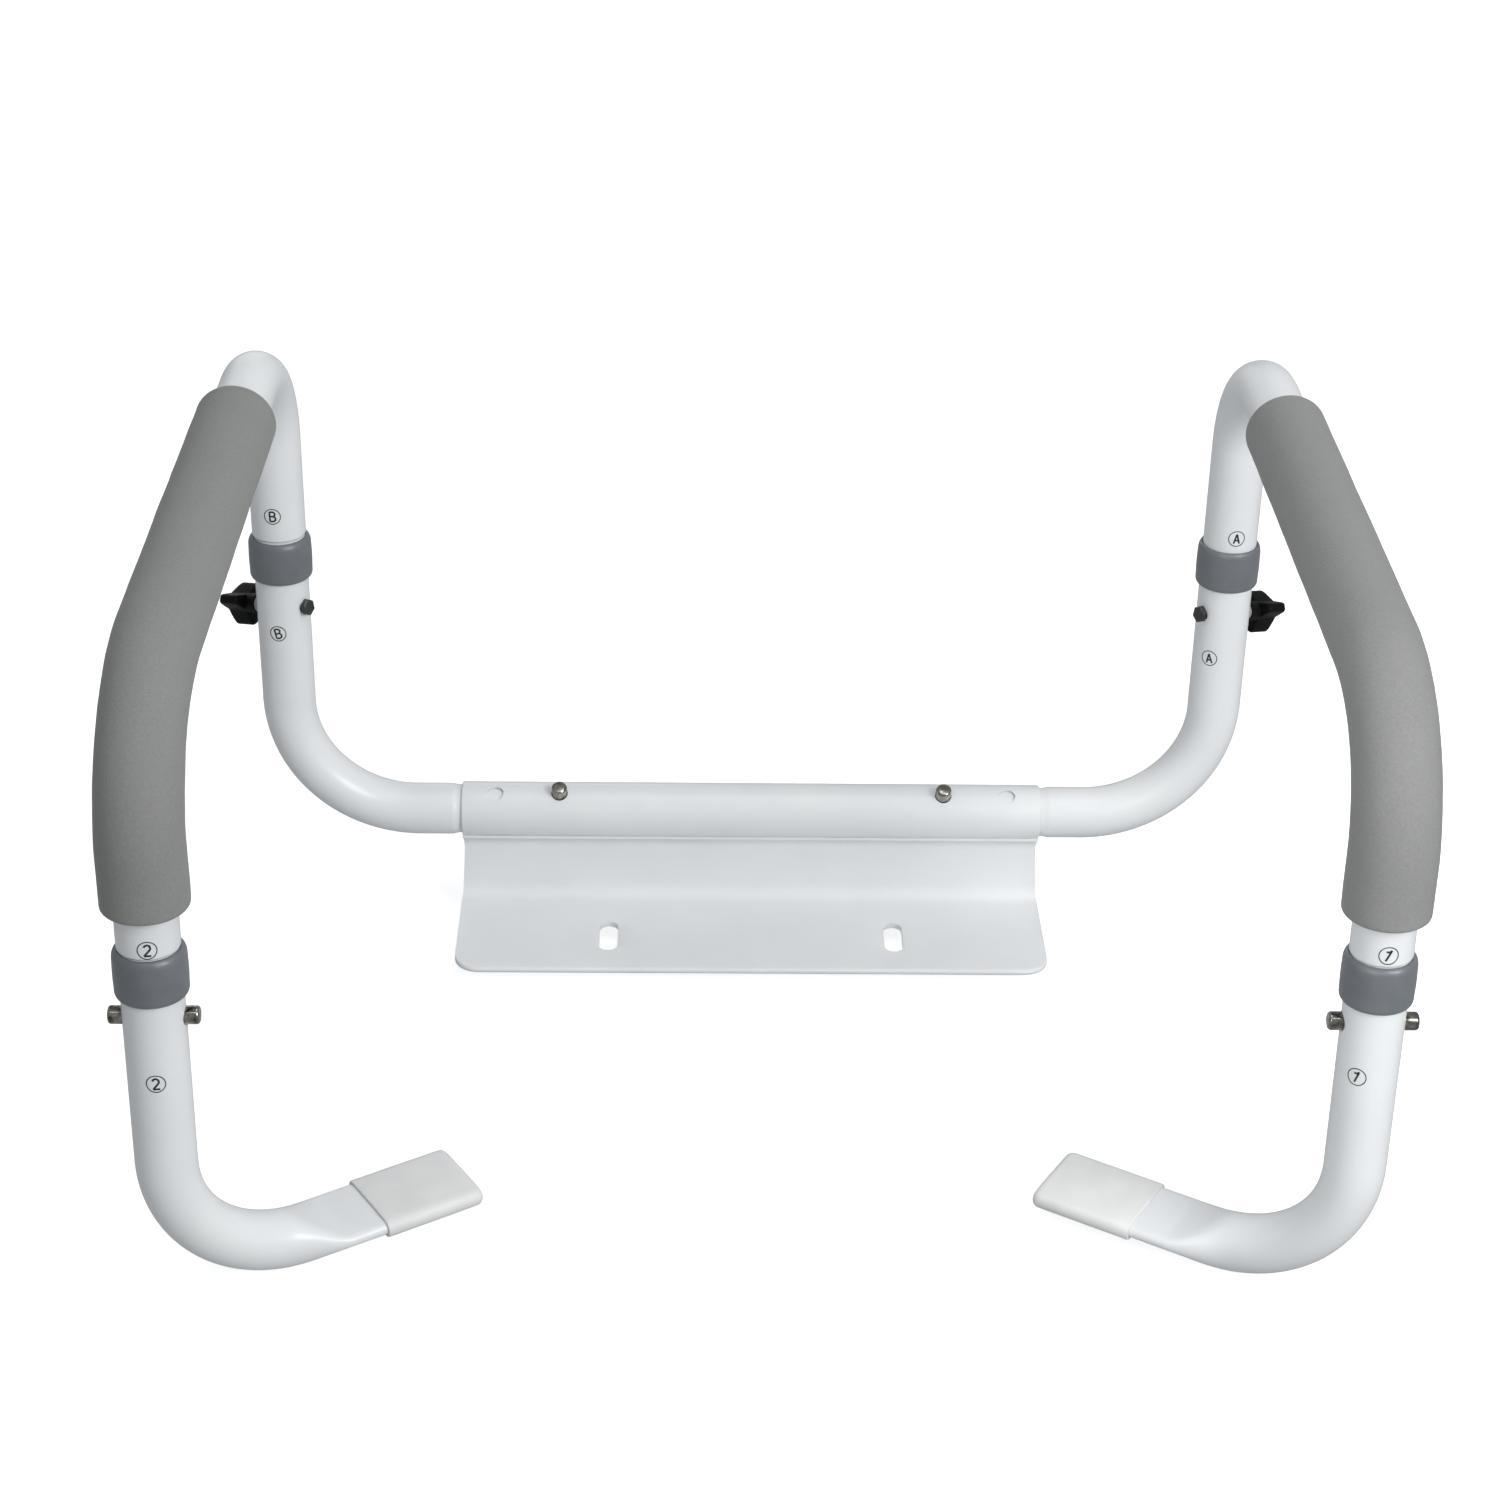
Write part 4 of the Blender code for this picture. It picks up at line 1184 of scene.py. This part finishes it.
CAMERA_PLACE = Vector((-0.0317, -1.2824, 0.8149))
CAMERA_PITCH = math.radians(28.87)
CAMERA_YAW = math.radians(1.32)
CAMERA_ROLL = math.radians(1.03)
CAMERA_LENS = 73.92
CAMERA_SENSOR = 36


def make_camera():
    level = Vector((math.sin(CAMERA_YAW), math.cos(CAMERA_YAW), 0))
    forward = level * math.cos(CAMERA_PITCH) - UP * math.sin(CAMERA_PITCH)
    right = Vector((math.cos(CAMERA_YAW), -math.sin(CAMERA_YAW), 0))
    up = right.cross(forward)
    rolled_right = right * math.cos(CAMERA_ROLL) + up * math.sin(CAMERA_ROLL)
    rolled_up = up * math.cos(CAMERA_ROLL) - right * math.sin(CAMERA_ROLL)
    data = bpy.data.cameras.new("camera")
    data.lens = CAMERA_LENS
    data.sensor_width = CAMERA_SENSOR
    camera = bpy.data.objects.new("camera", data)
    turn = Matrix((rolled_right, rolled_up, -forward)).transposed().to_4x4()
    camera.matrix_world = Matrix.Translation(CAMERA_PLACE) @ turn
    bpy.context.scene.collection.objects.link(camera)
    bpy.context.scene.camera = camera


BACKDROP_RADIUS = 9
BACKDROP_HEIGHT = 12
BACKDROP_GLOW = 0.94
FLOOR_GLOW = 0.58
FLOOR_GAP = 0.0002


def make_backdrop():
    """A far pale wall round the floor, which only the camera sees."""
    finish = Finish("backdrop_paint", 0.9, specular=0.0)
    broad = finish.noise(0.8, 2)
    finish.mottled(broad, (0.010, 0.010, 0.010), (0.014, 0.014, 0.014))
    finish.glow(BACKDROP_GLOW)
    profile = [(BACKDROP_RADIUS, -0.01), (BACKDROP_RADIUS, BACKDROP_HEIGHT)]
    wall = turned("backdrop", profile, Vector((0, 0, cad_low[2])), UP, steps=128)
    wall.data.materials.append(finish.material)
    wall.visible_diffuse = False
    wall.visible_glossy = False
    wall.visible_shadow = False


def make_floor():
    finish = Finish("floor_paint", 0.8, specular=0.1)
    broad = finish.noise(0.4, 2)
    finish.mottled(broad, (0.90, 0.90, 0.90), (0.92, 0.92, 0.92))
    finish.bump((finish.noise(0.003, 2), 0.00002, 0.1))
    finish.glow(FLOOR_GLOW)
    bm = bmesh.new()
    bmesh.ops.create_grid(bm, x_segments=4, y_segments=4, size=2 * BACKDROP_RADIUS)
    floor = finish_mesh("floor", bm)
    floor.location.z = cad_low[2] - FLOOR_GAP
    floor.data.materials.append(finish.material)
    floor.visible_diffuse = False
    floor.visible_glossy = False


def make_light(name, place, target, size, power, spread=180):
    data = bpy.data.lights.new(name, "AREA")
    data.shape = "RECTANGLE"
    data.size, data.size_y = size
    data.energy = power
    data.spread = math.radians(spread)
    light = bpy.data.objects.new(name, data)
    light.location = place
    light.rotation_euler = (Vector(target) - Vector(place)).to_track_quat("-Z", "Y").to_euler()
    bpy.context.scene.collection.objects.link(light)


def make_lights():
    world = bpy.data.worlds.new("studio")
    world.use_nodes = True
    background = world.node_tree.nodes["Background"]
    background.inputs["Color"].default_value = (0.955, 0.985, 1.0, 1)
    background.inputs["Strength"].default_value = 0.40
    bpy.context.scene.world = world
    target = (0, -0.1, 0.15)
    make_light("key_light", (1.32, -1.51, 1.40), target, (1.0, 1.0), 22)
    make_light("right_light", (0.9, -1.1, 0.75), target, (0.5, 0.6), 3.4)
    make_light("top_light", (0.1, -0.2, 1.4), target, (0.6, 0.6), 2.3)
    make_light("fill_light", (-0.15, -0.9, 0.55), (0.35, -0.1, 0.12), (0.25, 0.25), 0.2, 50)
    make_light("strip_light", (0, -0.9, 1.25), target, (1.5, 0.07), 1.3)
    make_light("back_light", (-0.5, 1.8, 0.7), target, (1.0, 1.0), 2.5)
    bpy.context.scene.view_settings.view_transform = "Standard"


make_camera()
make_floor()
make_backdrop()
make_lights()

bpy.context.view_layer.update()
